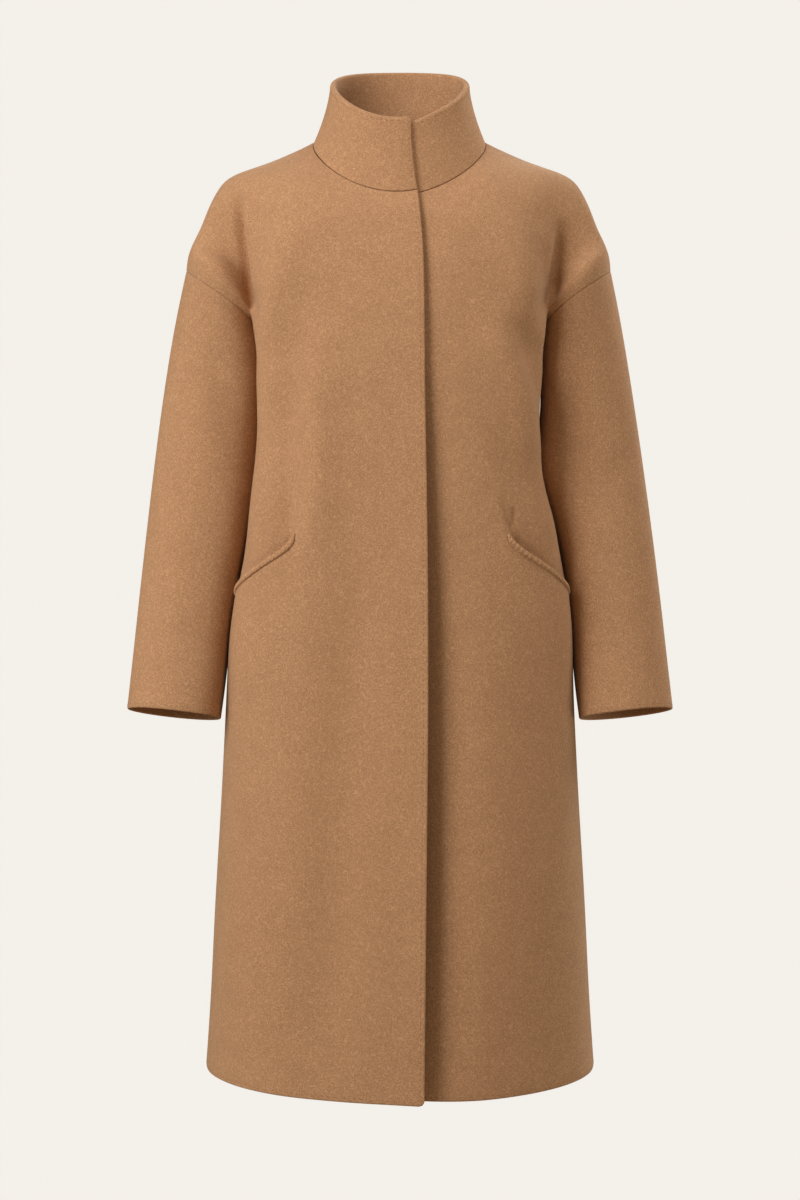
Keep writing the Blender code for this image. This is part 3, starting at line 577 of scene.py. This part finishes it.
def shaped_front(u, v, right, stepped=True):
    """The front at u and v with its folds and its lap: points and normals on the +X side."""
    points = body_sheet(u, v, True)
    normal = -normals_of(points)
    x = points[..., 0]
    folds = fold_height(x, points[..., 2], FOLDS_RIGHT if right else FOLDS_LEFT)
    folds = folds + pocket_relief(u, points[..., 2], stepped)
    folds = folds * smooth((1.0 - u) / FOLD_CLEAR)
    lap = lap_at(points[..., 2]).reshape(x.shape + (3,))
    if right:
        lift = lap[..., 1] * np.clip((LIFT_FROM - x) / LIFT_WIDTH, 0.0, 1.0) ** LIFT_POWER
    else:
        lift = -lap[..., 2] * np.clip((SINK_FROM - x) / SINK_WIDTH, 0.0, SINK_MOST) ** SINK_POWER
    points = hem_dip(points + normal * (folds + lift)[..., None])
    if right:
        inside = np.clip(1.0 - (x + lap[..., 0]) / HEM_CORNER, 0.0, 1.0)
        low = smooth((HEM_Z + 2.0 * HEM_CORNER - points[..., 2]) / HEM_CORNER / 2.0)
        points[..., 2] += HEM_CORNER * (1.0 - np.sqrt(1.0 - inside ** 2)) * low
    return points, -normals_of(points)


# %% [markdown]
# Each front's grid starts at its own front edge and ends at its outer seam, so the lap's edge
# is a true edge of the mesh and rolls over like the hem.

# %% Fronts
def front_grid(right):
    v = rows_of(SEAM_ROLL, EDGE_ROLL)
    centre = body_sheet(np.zeros((len(v), 1)), v, True)[:, 0]
    edge_x = -lap_at(centre[:, 2])[:, 0] if right else np.full(len(v), -UNDERLAP)
    first = edge_column(v, edge_x)
    across = ends_fine(FRONT_COLUMNS, EDGE_ROLL, SEAM_ROLL, FRONT_LENGTH)
    return first + (1.0 - first) * across, v


def seam_shallow(v):
    """How shallow each row's outer seam lies: the underarm's rise, and its fall below it."""
    return underarm(v - 1.0) * (1.0 - smooth((v - 2.0) / UNDERARM_DOWN))


def beside_armhole(v):
    """The angle round the armhole at each row's outer end, and whether the row ends there."""
    down = v[:, None] - 1.0
    return np.pi * np.clip(down, 0.0, 1.0), (down > 0.0) & (down < 1.0)


pieces, grids = {}, {}
for right, name in ((True, "front_right"), (False, "front_left")):
    u, v = front_grid(right)
    points, normal = shaped_front(u, v, right)
    near = near_edge(points, 1, True)
    shallow = seam_shallow(v)[:, None] * near
    turn, at_armhole = beside_armhole(v)
    normal = seam_facing(normal, turn, near * at_armhole)
    if right:
        points, normal = mirrored(points), mirrored(normal)
    grids[name] = points
    roll = Roll(SEAM_ROLL, EDGE_ROLL, EDGE_ROLL, SEAM_ROLL)
    pieces[name] = cloth(name + "_cloth", points, normal, WOOL, roll, shallow=shallow)

# %% [markdown]
# The back is one wide piece between the two side seams. Under the shoulder blades it hangs in
# a few long soft folds, no two alike.

# %% Back
BACK_COLUMNS, BACK_LENGTH = 130, 0.52
FOLDS_BACK = [
    Fold(-0.060, -0.330, -0.104, -0.980, 0.032, 0.0050),
    Fold(-0.018, -0.480, -0.030, -1.020, 0.026, -0.0036),
    Fold(0.050, -0.300, 0.088, -0.900, 0.036, 0.0042),
    Fold(0.122, -0.560, 0.140, -1.020, 0.028, -0.0030),
    Fold(-0.128, -0.190, -0.150, -0.410, 0.019, -0.0055),
    Fold(-0.104, -0.215, -0.128, -0.470, 0.017, 0.0040),
    Fold(0.130, -0.185, 0.158, -0.380, 0.018, -0.0060),
    Fold(0.102, -0.200, 0.120, -0.400, 0.020, 0.0032),
]
across = 2.0 * ends_fine(BACK_COLUMNS, SEAM_ROLL, SEAM_ROLL, BACK_LENGTH) - 1.0
v = rows_of(SEAM_ROLL, EDGE_ROLL)
v = v[(v < POCKET_TOP) | (v > POCKET_BOTTOM) | (np.arange(len(v)) % 2 == 0)]
u = np.tile(across, (len(v), 1))
points = body_sheet(u, v, False)
folds = fold_height(points[..., 0], points[..., 2], FOLDS_BACK)
folds = folds * smooth((1.0 - np.abs(u)) / FOLD_CLEAR)
points = hem_dip(points + normals_of(points) * folds[..., None])
grids["back"] = points
near_left, near_right = near_edge(points, 1, True), near_edge(points, 1, False)
shallow = seam_shallow(v)[:, None] * np.minimum(near_left + near_right, 1.0)
turn, at_armhole = beside_armhole(v)
normal = seam_facing(normals_of(points), -turn, near_left * at_armhole)
normal = mirrored(seam_facing(mirrored(normal), -turn, near_right * at_armhole))
roll = Roll(SEAM_ROLL, EDGE_ROLL, SEAM_ROLL, SEAM_ROLL)
pieces["back"] = cloth("back_cloth", points, normal, WOOL, roll, shallow=shallow)

# %% [markdown]
# A sleeve is a tube of rings that follows the arm down and a little forward. Its front lies
# flat and turns sharply in towards the body. Behind the elbow the cloth creases softly.

# %% Sleeves
Ring = namedtuple("Ring", "outer inner middle front back rise")
SLEEVE = [
    Ring((0.2568, -0.1994), (0.1550, -0.262), 0.014, 0.066, 0.078, 0.008),
    Ring((0.2712, -0.2868), (0.1580, -0.325), 0.014, 0.062, 0.070, 0.006),
    Ring((0.2862, -0.4021), (0.1710, -0.425), 0.006, 0.060, 0.063, 0.006),
    Ring((0.2985, -0.5164), (0.1895, -0.5314), -0.010, 0.056, 0.058, 0.008),
    Ring((0.3067, -0.6010), (0.1993, -0.6134), -0.024, 0.0535, 0.0545, 0.0095),
    Ring((0.3105, -0.6395), (0.2040, -0.6504), -0.031, 0.053, 0.053, 0.0100),
]
SLEEVE_ROWS, SLEEVE_COLUMNS, SLEEVE_LENGTH = 120, 108, 0.47
SLEEVE_FLAT = 0.50  # the power that flattens the front's inner half
SLEEVE_SKEW = 0.008  # how far the front's inner half comes forward, and its outer half back
SLEEVE_RADIUS = 0.058
SLEEVE_CLEAR = 0.08  # the share of the sleeve over which its folds rise
FOLDS_SLEEVE = [
    Fold(-0.040, -0.150, -0.110, -0.205, 0.014, -0.0040),
    Fold(-0.052, -0.205, -0.118, -0.232, 0.013, 0.0034),
    Fold(-0.036, -0.262, -0.104, -0.250, 0.015, -0.0036),
    Fold(-0.070, -0.330, -0.128, -0.300, 0.014, 0.0022),
    Fold(-0.060, -0.020, -0.115, -0.090, 0.018, -0.0030),
    Fold(0.070, -0.040, 0.118, -0.130, 0.016, -0.0016),
    Fold(0.050, -0.190, 0.112, -0.250, 0.018, -0.0013),
]


def sleeve_sheet():
    """Ovals from the armhole to the cuff, splined down their columns."""
    turn = np.linspace(np.pi, -np.pi, SLEEVE_COLUMNS + 1)[:-1]
    rings = [armhole(turn)]
    for ring in SLEEVE:
        outer = np.array([ring.outer[0], ring.middle, ring.outer[1]])
        inner = np.array([ring.inner[0], ring.middle, ring.inner[1]])
        depth = np.where(turn > 0.0, ring.front, ring.back)
        across = (outer - inner) / 2.0 * np.cos(turn)[:, None]
        inner_front = turn > np.pi / 2.0
        sine = np.sin(turn)
        flat = np.where(inner_front, np.abs(sine) ** SLEEVE_FLAT, sine)
        skew = SLEEVE_SKEW * np.cos(turn) * np.maximum(sine, 0.0)
        forward = np.stack([0.0 * turn, skew - depth * flat, ring.rise * flat], -1)
        rings.append((outer + inner) / 2.0 + across + forward)
    rings = np.array(rings)
    middles = rings.mean(axis=1)
    along = run_along(middles)
    down = ends_fine(SLEEVE_ROWS, SEAM_ROLL, EDGE_ROLL, SLEEVE_LENGTH)
    points = spline(along / along[-1], rings, down)
    away = np.tile(turn * SLEEVE_RADIUS, (len(down), 1))
    low = np.tile(-down[:, None] * SLEEVE_LENGTH, (1, len(turn)))
    folds = fold_height(away, low, FOLDS_SLEEVE) * smooth(down / SLEEVE_CLEAR)[:, None]
    points = points + tube_normals(points) * folds[..., None]
    return points, tube_normals(points), turn


def tube_normals(points):
    """Unit normals of a closed tube: along the tube crossed with round it."""
    ahead = np.roll(points, -1, axis=1) - np.roll(points, 1, axis=1)
    return unit(np.cross(np.gradient(points, axis=0), ahead))


points, normal, turn = sleeve_sheet()
near = near_edge(points, 0, False)
shallow = underarm(np.abs(turn) / np.pi)[None] * near
normal = seam_facing(normal, turn[None], near)
roll = Roll(SEAM_ROLL, EDGE_ROLL, 0.0, 0.0)
for right, name in ((False, "sleeve_left"), (True, "sleeve_right")):
    if right:
        points, normal = mirrored(points), mirrored(normal)
    grids[name] = points
    pieces[name] = cloth(
        name + "_cloth", points, normal, WOOL, roll, tube=True, shallow=shallow)

# %% [markdown]
# The collar stands on the neck seam, draws in quickly above it and ends in a thick rolled
# rim. Its two ends lap as the fronts do.

# %% Collar
COLLAR_WALL, RIM_WALL, COLLAR_FLARE = 0.0048, 0.0074, 1.6
LAP_AT_RIM = np.array([1.0, 1.0, 0.3])
COLLAR_ROLL = 0.0026
RIM_CORNER = 0.006  # radius of the rounded front corners
COLLAR_FRONT, COLLAR_BEHIND, COLLAR_ROWS = 90, 121, 32  # columns of each part, and rows
LEFT_LOWER, LEFT_REACH = 0.009, 0.085  # the left front's end of the collar sinks behind
RIM_SLIP, RIM_SLIP_REACH = 0.0042, 0.030  # the lap's edge slants back towards the rim
COLLAR_HALF, COLLAR_HEIGHT = 0.25, 0.075  # lengths along it, in front and upwards
THICKENS_FROM, THICKENS_OVER = 0.5, 0.4  # shares of the height


def collar_sheet():
    """A strip from the neck seam to the rim: it draws in as one less (1 - up) to a power."""
    v = np.zeros(1)
    tops = {}
    for right in (True, False):
        edge = np.array([-LAP[-1].edge_x if right else -UNDERLAP])
        first = edge_column(v, edge)
        u = first + (1.0 - first) * ends_fine(
            COLLAR_FRONT, COLLAR_ROLL, SEAM_ROLL, COLLAR_HALF)[None]
        step_down = np.array([0.0, 0.01, 0.02])
        tops[right] = shaped_front(np.repeat(u, 3, axis=0), step_down, right)[0][0]
    turn = np.linspace(-1.0, 1.0, COLLAR_BEHIND)[1:-1]
    behind = body_sheet(turn[None], v, False)[0]
    foot = np.concatenate([mirrored(tops[True]), behind, tops[False][::-1]])
    depth = np.where(foot[:, 1] < 0.0, NECK_SEAM.front, NECK_SEAM.back)
    angle = np.unwrap(np.arctan2(foot[:, 0] / NECK_SEAM.half_width, -foot[:, 1] / depth))
    lapped = foot - ring_round_neck(NECK_SEAM, angle)
    rim = ring_round_neck(COLLAR_RIM, angle) + lapped * LAP_AT_RIM
    along = run_along(rim)
    rim[:, 0] -= RIM_SLIP * (1.0 - smooth(along / RIM_SLIP_REACH))
    rim[:, 2] -= LEFT_LOWER * (1.0 - smooth((along[-1] - along) / LEFT_REACH))
    end = np.minimum(along, along[-1] - along)
    rounded = np.clip(1.0 - end / RIM_CORNER, 0.0, 1.0)
    rim[:, 2] -= RIM_CORNER * (1.0 - np.sqrt(1.0 - rounded ** 2))
    up = ends_fine(COLLAR_ROWS, SEAM_ROLL, RIM_WALL / 2.0, COLLAR_HEIGHT)[:, None, None]
    rise = 1.0 - (1.0 - up) ** COLLAR_FLARE
    share = np.concatenate([rise, rise, up], axis=-1)
    thick = smooth((up[:, :, 0] - THICKENS_FROM) / THICKENS_OVER)
    wall = COLLAR_WALL + (RIM_WALL - COLLAR_WALL) * thick
    return (foot + (rim - foot) * share)[::-1], np.tile(wall, (1, len(foot)))[::-1]


points, wall = collar_sheet()
normal = normals_of(points)
if np.sum(normal * (points - points.mean(axis=(0, 1)))) < 0.0:
    normal = -normal
grids["collar"] = points
roll = Roll(RIM_WALL / 2.0, SEAM_ROLL, COLLAR_ROLL, COLLAR_ROLL)
pieces["collar"] = cloth("collar_cloth", points, normal, wall, roll)

# %% [markdown]
# A slanted pocket is cut into the front, and its lower edge is turned under and stitched. The
# round lip stands proud of the cloth behind it, and below its stitches it runs into the front.
# Between two stitches the lip puffs up a little.

# %% Pocket edges
POCKET_DOWN, POCKET_INWARD = 0.0080, 0.0230
POCKET_WIDTH, POCKET_LENGTH = 0.0096, 0.118
POCKET_LIP, LIP_CREST, LIP_HALF = 0.0018, 0.0038, 0.0045
STITCH_LINE, STITCH_WIDTH = 0.0058, 0.0016
POCKET_BASE, POCKET_TAIL = 0.0004, 0.0030
STITCH_PITCH, PUFF = 0.0056, 0.25
POCKET_WALL, POCKET_ROLL = 0.0028, Roll(0.001, 0.001, 0.0014, 0.001)
POCKET_COLUMNS, POCKET_ROWS, SIDESTEP = 26, 130, 0.004
LIP_NARROWEST, LIP_AHEAD, LIP_WIDENS = 0.25, 0.15, 10.0  # its width at the inner end
LIP_RUNS_OUT = 0.04  # the share of its length over which the lip ends


def lip_lift(across, along):
    """The lip's height by the distance from the slit: it leans back from a crest beside the
    stitches, and past them drops below the front's own surface. It puffs by a cosine between
    two stitches."""
    puff = 1.0 - PUFF * np.cos(2.0 * np.pi * along / STITCH_PITCH)
    lip = POCKET_LIP * np.maximum(1.0 - ((across - LIP_CREST) / LIP_HALF) ** 2, 0.0) * puff
    tail = POCKET_TAIL * smooth((across - STITCH_LINE) / STITCH_WIDTH)
    return lip + POCKET_BASE - tail


def pocket_sheet(right):
    """The front's own surface below the slit, lifted by the lip's height. At its inner end the
    lip narrows, as the stitches turn up to the end of the slit."""
    along = np.linspace(0.0, 1.0, POCKET_ROWS)
    knots = np.linspace(0.0, 1.0, len(POCKET_SLIT))
    path = spline(knots, POCKET_SLIT, along)
    share = ends_fine(POCKET_COLUMNS, EDGE_ROLL, EDGE_ROLL, POCKET_WIDTH)
    widened = smooth(LIP_AHEAD + along * LIP_WIDENS)
    narrow = LIP_NARROWEST + (1.0 - LIP_NARROWEST) * widened
    grid, walls = [], []
    for (at_u, at_z), width in zip(path, narrow):
        u = at_u - POCKET_INWARD * share * width
        v = level_v(at_z - POCKET_DOWN * share * width)
        beside = u[:, None] + SIDESTEP * np.array([[-1.0, 0.0, 1.0]])
        near = shaped_front(beside, v, right, False)
        grid.append(near[0][:, 1])
        walls.append(near[1][:, 1])
    grid, walls = np.array(grid), np.array(walls)
    lift = lip_lift(share[None] * POCKET_WIDTH, along[:, None] * POCKET_LENGTH)
    ends = narrow * smooth((1.0 - along) / LIP_RUNS_OUT)
    lift = POCKET_BASE + (lift - POCKET_BASE) * ends[:, None]
    return grid + walls * lift[..., None], walls


for right, name in ((True, "pocket_edge_right"), (False, "pocket_edge_left")):
    points, normal = pocket_sheet(right)
    if right:
        points, normal = mirrored(points), mirrored(normal)
    grids[name] = points
    pieces[name] = cloth(name + "_cloth", points, normal, POCKET_WALL, POCKET_ROLL)

# %% [markdown]
# The open edges are picked: small hand stitches a few millimetres inside the edge hold its two
# layers. Only a grain of thread shows at each one, half sunk in the nap. A stitch is a spindle
# that is carried along the edge at an even pitch, and each row of them is one mesh.

# %% Stitches
STITCH_LENGTH, STITCH_RADIUS = 0.0026, 0.00042
UPWARD = np.array([0.0, 0.3, 1.0])  # along no stitch
PICKED_IN, PICKED_PITCH = 0.0048, 0.0062


def inset_line(points, distance):
    """The line at one distance inside the first column, measured along each row."""
    along = run_along(points, 1)
    after = np.argmax(along > distance, axis=1)
    row = np.arange(len(points))
    share = (distance - along[row, after - 1]) / (along[row, after] - along[row, after - 1])
    start = points[row, after - 1]
    return start + (points[row, after] - start) * share[:, None]


def stitches(name, line, pitch):
    """Spindles along a line: the radius at each station is that of a ball, by the square root
    of one less the station squared."""
    along = run_along(line)
    centre = np.arange(pitch, along[-1] - pitch, pitch)
    station = np.array([-0.98, -0.6, 0.0, 0.6, 0.98])
    turn = np.linspace(0.0, 2.0 * np.pi, 7)[:-1]
    places = centre[:, None] + station * STITCH_LENGTH / 2.0
    middle = np.stack([np.interp(places, along, line[:, k]) for k in range(3)], -1)
    ahead = unit(middle[:, -1] - middle[:, 0])
    side = unit(np.cross(ahead, UPWARD))
    other = np.cross(ahead, side)
    radius = STITCH_RADIUS * np.sqrt(1.0 - station ** 2)[None, :, None, None]
    ring = side[:, None] * np.cos(turn)[:, None] + other[:, None] * np.sin(turn)[:, None]
    points = middle[:, :, None] + radius * ring[:, None]
    stations, sides = len(station), len(turn)
    one = np.arange(stations * sides).reshape(stations, sides)
    wrapped = np.concatenate([one, one[:, :1]], axis=1)
    halves = np.array([[0, 1, 2, 3], [0, 3, 4, 5]])
    faces = np.concatenate([quads(wrapped), one[0][halves], one[-1][halves[:, ::-1]]])
    every = faces[None] + (np.arange(len(centre)) * stations * sides)[:, None, None]
    return put(name, swayed(points.reshape(-1, 3)), every.reshape(-1, 4))


def from_below(grid):
    """The grid turned so that its bottom edge is its first column."""
    return grid[::-1].transpose(1, 0, 2)


picked = {
    "stitches_front_edge": grids["front_right"],
    "stitches_hem_right": from_below(grids["front_right"]),
    "stitches_hem_left": from_below(grids["front_left"]),
    "stitches_hem_back": from_below(grids["back"]),
    "stitches_cuff_right": from_below(grids["sleeve_right"]),
    "stitches_cuff_left": from_below(grids["sleeve_left"]),
    "stitches_collar_rim": grids["collar"].transpose(1, 0, 2),
    "stitches_collar_edge": grids["collar"],
}
threads = []
for name, grid in picked.items():
    threads.append(stitches(name, inset_line(grid, PICKED_IN), PICKED_PITCH))
for name in ("pocket_edge_right", "pocket_edge_left"):
    line = inset_line(grids[name], STITCH_LINE)
    threads.append(stitches("stitches_" + name, line, STITCH_PITCH))

# %% [markdown]
# Each visible piece stands for the imported wall of the same name, which is hidden.

# %% Pieces, and a record type for their cuts
Cut = namedtuple("Cut", "width length share")  # the share of the rectangle that is cloth
for name, piece in pieces.items():
    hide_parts(name)

# %% [markdown]
# A material is a sum of many small steps. Written as a Python expression it can be read at a
# glance, so one class turns each operator into its maths node.

# %% Shader maths
def set_sockets(node, values):
    """Gives the sockets of a shader node their values, by name."""
    for key, value in values.items():
        node.inputs[key].default_value = value


class Flow:
    """A value in a shader. Arithmetic on it adds maths nodes to its tree."""

    def __init__(self, tree, socket):
        self.tree, self.socket = tree, socket

    def node(self, kind, settings, sockets, output=0):
        """Any other node: its settings first, then its sockets, as numbers or as values."""
        made = self.tree.nodes.new(kind)
        for key, value in settings.items():
            setattr(made, key, value)
        for key, value in sockets.items():
            if isinstance(value, Flow):
                self.tree.links.new(value.socket, made.inputs[key])
            else:
                made.inputs[key].default_value = value
        return Flow(self.tree, made.outputs[output])

    def maths(self, operation, *values):
        return self.node("ShaderNodeMath", {"operation": operation}, dict(enumerate(values)))

    def __add__(self, other):
        return self.maths("ADD", self, other)

    def __sub__(self, other):
        return self.maths("SUBTRACT", self, other)

    def __rsub__(self, other):
        return self.maths("SUBTRACT", other, self)

    def __mul__(self, other):
        return self.maths("MULTIPLY", self, other)

    def __abs__(self):
        return self.maths("ABSOLUTE", self)

    __radd__, __rmul__ = __add__, __mul__


# %% [markdown]
# The wool is a felted coating cloth: matt, with short curly fibres that lie every way. A fibre
# is drawn where a noise passes through its middle value, which makes thin wandering lines. A
# slower noise bends the place first, so that the lines curl. The same lines raise the surface.

# %% Wool
CAMEL_DARK = (0.380, 0.201, 0.104, 1.0)
CAMEL_LIGHT = (0.728, 0.428, 0.244, 1.0)
THREAD_DARK = (0.300, 0.155, 0.080, 1.0)
THREAD_LIGHT = (0.480, 0.270, 0.150, 1.0)
SHEEN = (1.0, 0.86, 0.70, 1.0)
FIBRE, THREAD_FIBRE, FINER = 420.0, 1400.0, 2.3  # noise scales, and how much finer the second is
CURL, CURL_SLOWER = 0.006, 4.0
COARSE_SHARE, FINE_SHARE, MOTTLE_SHARE, MOTTLE_SCALE = 0.44, 0.34, 0.2, 34.0
STRAND_SHARPNESS, NAP_HEIGHT = 8.0, 0.0006


def wool_material(name, dark, light, fibre=FIBRE):
    """Felt: two sets of curled fibres and a faint slow mottle, from dark to light."""
    made = bpy.data.materials.new(name)
    made.use_nodes = True
    tree = made.node_tree
    shader = tree.nodes["Principled BSDF"]
    place = Flow(tree, tree.nodes.new("ShaderNodeTexCoord").outputs["Object"])

    def noise(vector, scale, detail=0.0, output=0):
        sockets = {"Vector": vector, "Scale": scale, "Detail": detail}
        return place.node("ShaderNodeTexNoise", {}, sockets, output)

    def vector(operation, a, b):
        return place.node("ShaderNodeVectorMath", {"operation": operation}, {0: a, 1: b})

    def strands(scale):
        ridge = 1.0 - abs(noise(curled, scale) - 0.5) * STRAND_SHARPNESS
        return ridge.maths("MAXIMUM", ridge, 0.0)

    wander = noise(place, fibre / CURL_SLOWER, 1.0, output=1)
    slow = vector("SUBTRACT", wander, (0.5, 0.5, 0.5))
    curled = vector("ADD", place, vector("MULTIPLY", slow, (CURL, CURL, CURL)))
    nap = strands(fibre) * COARSE_SHARE + strands(fibre * FINER) * FINE_SHARE
    nap = nap + noise(place, MOTTLE_SCALE, 2.0) * MOTTLE_SHARE
    colours = {0: nap, 6: dark, 7: light}
    mixed = place.node("ShaderNodeMix", {"data_type": "RGBA"}, colours, output=2)
    raised = {"Strength": 0.45, "Distance": NAP_HEIGHT, "Height": nap}
    bump = place.node("ShaderNodeBump", {}, raised)
    tree.links.new(mixed.socket, shader.inputs["Base Color"])
    tree.links.new(bump.socket, shader.inputs["Normal"])
    set_sockets(shader, {
        "Roughness": 0.95, "Specular IOR Level": 0.2,
        "Sheen Weight": 0.30, "Sheen Roughness": 0.45, "Sheen Tint": SHEEN,
    })
    return made


wool = wool_material("camel_wool", CAMEL_DARK, CAMEL_LIGHT)
thread = wool_material("camel_thread", THREAD_DARK, THREAD_LIGHT, fibre=THREAD_FIBRE)
for piece in pieces.values():
    piece.data.materials.append(wool)
for piece in threads:
    piece.data.materials.append(thread)
print(f"{len(pieces)} pieces of wool and {len(threads)} rows of stitches")

# %% [markdown]
# The coat hangs in front of a plain pale sweep. A large soft light stands to the camera's
# left, and the pale surroundings fill the shade.

# %% Floor and light
PALE = (0.905, 0.871, 0.823)
WARM = (1.0, 0.962, 0.909)
LIT_POINT, LIGHT_DISTANCE = np.array([0.0, 0.0, -0.4]), 3.4
FLOOR_Z, FLOOR_HALF = -1.42, 30.0
WARM_FILL = (1.0, 0.80, 0.53, 1.0)  # light that the coat's own wool has warmed
FILL = 0.26  # how strongly the surroundings light the coat


def pale_floor():
    """One big square, which turns from a lit floor near the coat into the pale surroundings
    far from it."""
    corners = np.array([(-1, -1), (1, -1), (1, 1), (-1, 1)]) * FLOOR_HALF
    mesh = bpy.data.meshes.new("floor")
    mesh.from_pydata([(x, y, FLOOR_Z) for x, y in corners.tolist()], [], [(0, 1, 2, 3)])
    made = bpy.data.materials.new("floor")
    made.use_nodes = True
    set_sockets(made.node_tree.nodes["Principled BSDF"], {
        "Base Color": (0.0, 0.0, 0.0, 1.0), "Roughness": 1.0, "Specular IOR Level": 0.0,
        "Emission Color": (*PALE, 1.0), "Emission Strength": 1.0,
    })
    mesh.materials.append(made)
    floor = shown("floor", mesh)
    floor.visible_diffuse = False  # the camera sees it, but it doesn't light the coat from below
    floor.visible_glossy = False


def surroundings():
    world = bpy.data.worlds.new("surroundings")
    bpy.context.scene.world = world
    world.use_nodes = True
    tree = world.node_tree
    seen = tree.nodes["Background"]
    set_sockets(seen, {"Color": (*PALE, 1.0), "Strength": 1.0})
    fill = tree.nodes.new("ShaderNodeBackground")
    set_sockets(fill, {"Color": WARM_FILL, "Strength": FILL})
    path = tree.nodes.new("ShaderNodeLightPath")
    mix = tree.nodes.new("ShaderNodeMixShader")
    tree.links.new(path.outputs["Is Camera Ray"], mix.inputs[0])
    tree.links.new(fill.outputs[0], mix.inputs[1])
    tree.links.new(seen.outputs[0], mix.inputs[2])
    tree.links.new(mix.outputs[0], tree.nodes["World Output"].inputs["Surface"])


def soft_light(name, azimuth, elevation, size, power):
    """A disc of light that faces the coat's middle, 0 degrees in front and -90 on its right."""
    light = bpy.data.lights.new(name, "AREA")
    light.shape = "DISK"
    light.size = size
    light.energy = power
    light.color = WARM
    lamp = shown(name, light)
    turn, up = np.radians(azimuth), np.radians(elevation)
    away = np.array([np.sin(turn) * np.cos(up), -np.cos(turn) * np.cos(up), np.sin(up)])
    lamp.location = LIT_POINT + away * LIGHT_DISTANCE
    lamp.rotation_euler = (np.pi / 2.0 - up, 0.0, turn)


pale_floor()
surroundings()
soft_light("key", -46.0, 24.0, 1.9, 78.0)
soft_light("top", 58.0, 60.0, 1.8, 32.0)
soft_light("side", -75.0, 5.0, 2.0, 12.0)
soft_light("right", 74.0, -4.0, 2.0, 19.0)
soft_light("behind", 140.0, 32.0, 1.8, 44.0)

# %% [markdown]
# The camera looks level from the height of the lower chest. The coat is lower in the frame
# than that, so the lens is shifted and not tilted, which keeps upright lines upright.

# %% Camera
PIXELS_PER_METRE = 870.0  # at the coat's middle
DISTANCE, EYE_Z = 3.2, -0.333
PHOTO_HEIGHT, SHIFTED_BY = 1200.0, -160.0  # in the photograph's pixels
camera_data = bpy.data.cameras.new("camera")
camera_data.sensor_fit = "VERTICAL"
camera_data.sensor_height = 36.0
camera_data.lens = DISTANCE * PIXELS_PER_METRE / PHOTO_HEIGHT * camera_data.sensor_height
camera_data.shift_y = SHIFTED_BY / PHOTO_HEIGHT
camera = shown("camera", camera_data)
camera.location = (0.0, -DISTANCE, EYE_Z)
camera.rotation_euler = (np.pi / 2.0, 0.0, 0.0)
bpy.context.scene.camera = camera
bpy.context.scene.view_settings.view_transform = "Standard"
print("The camera's lens, in millimetres:", round(camera_data.lens, 1))
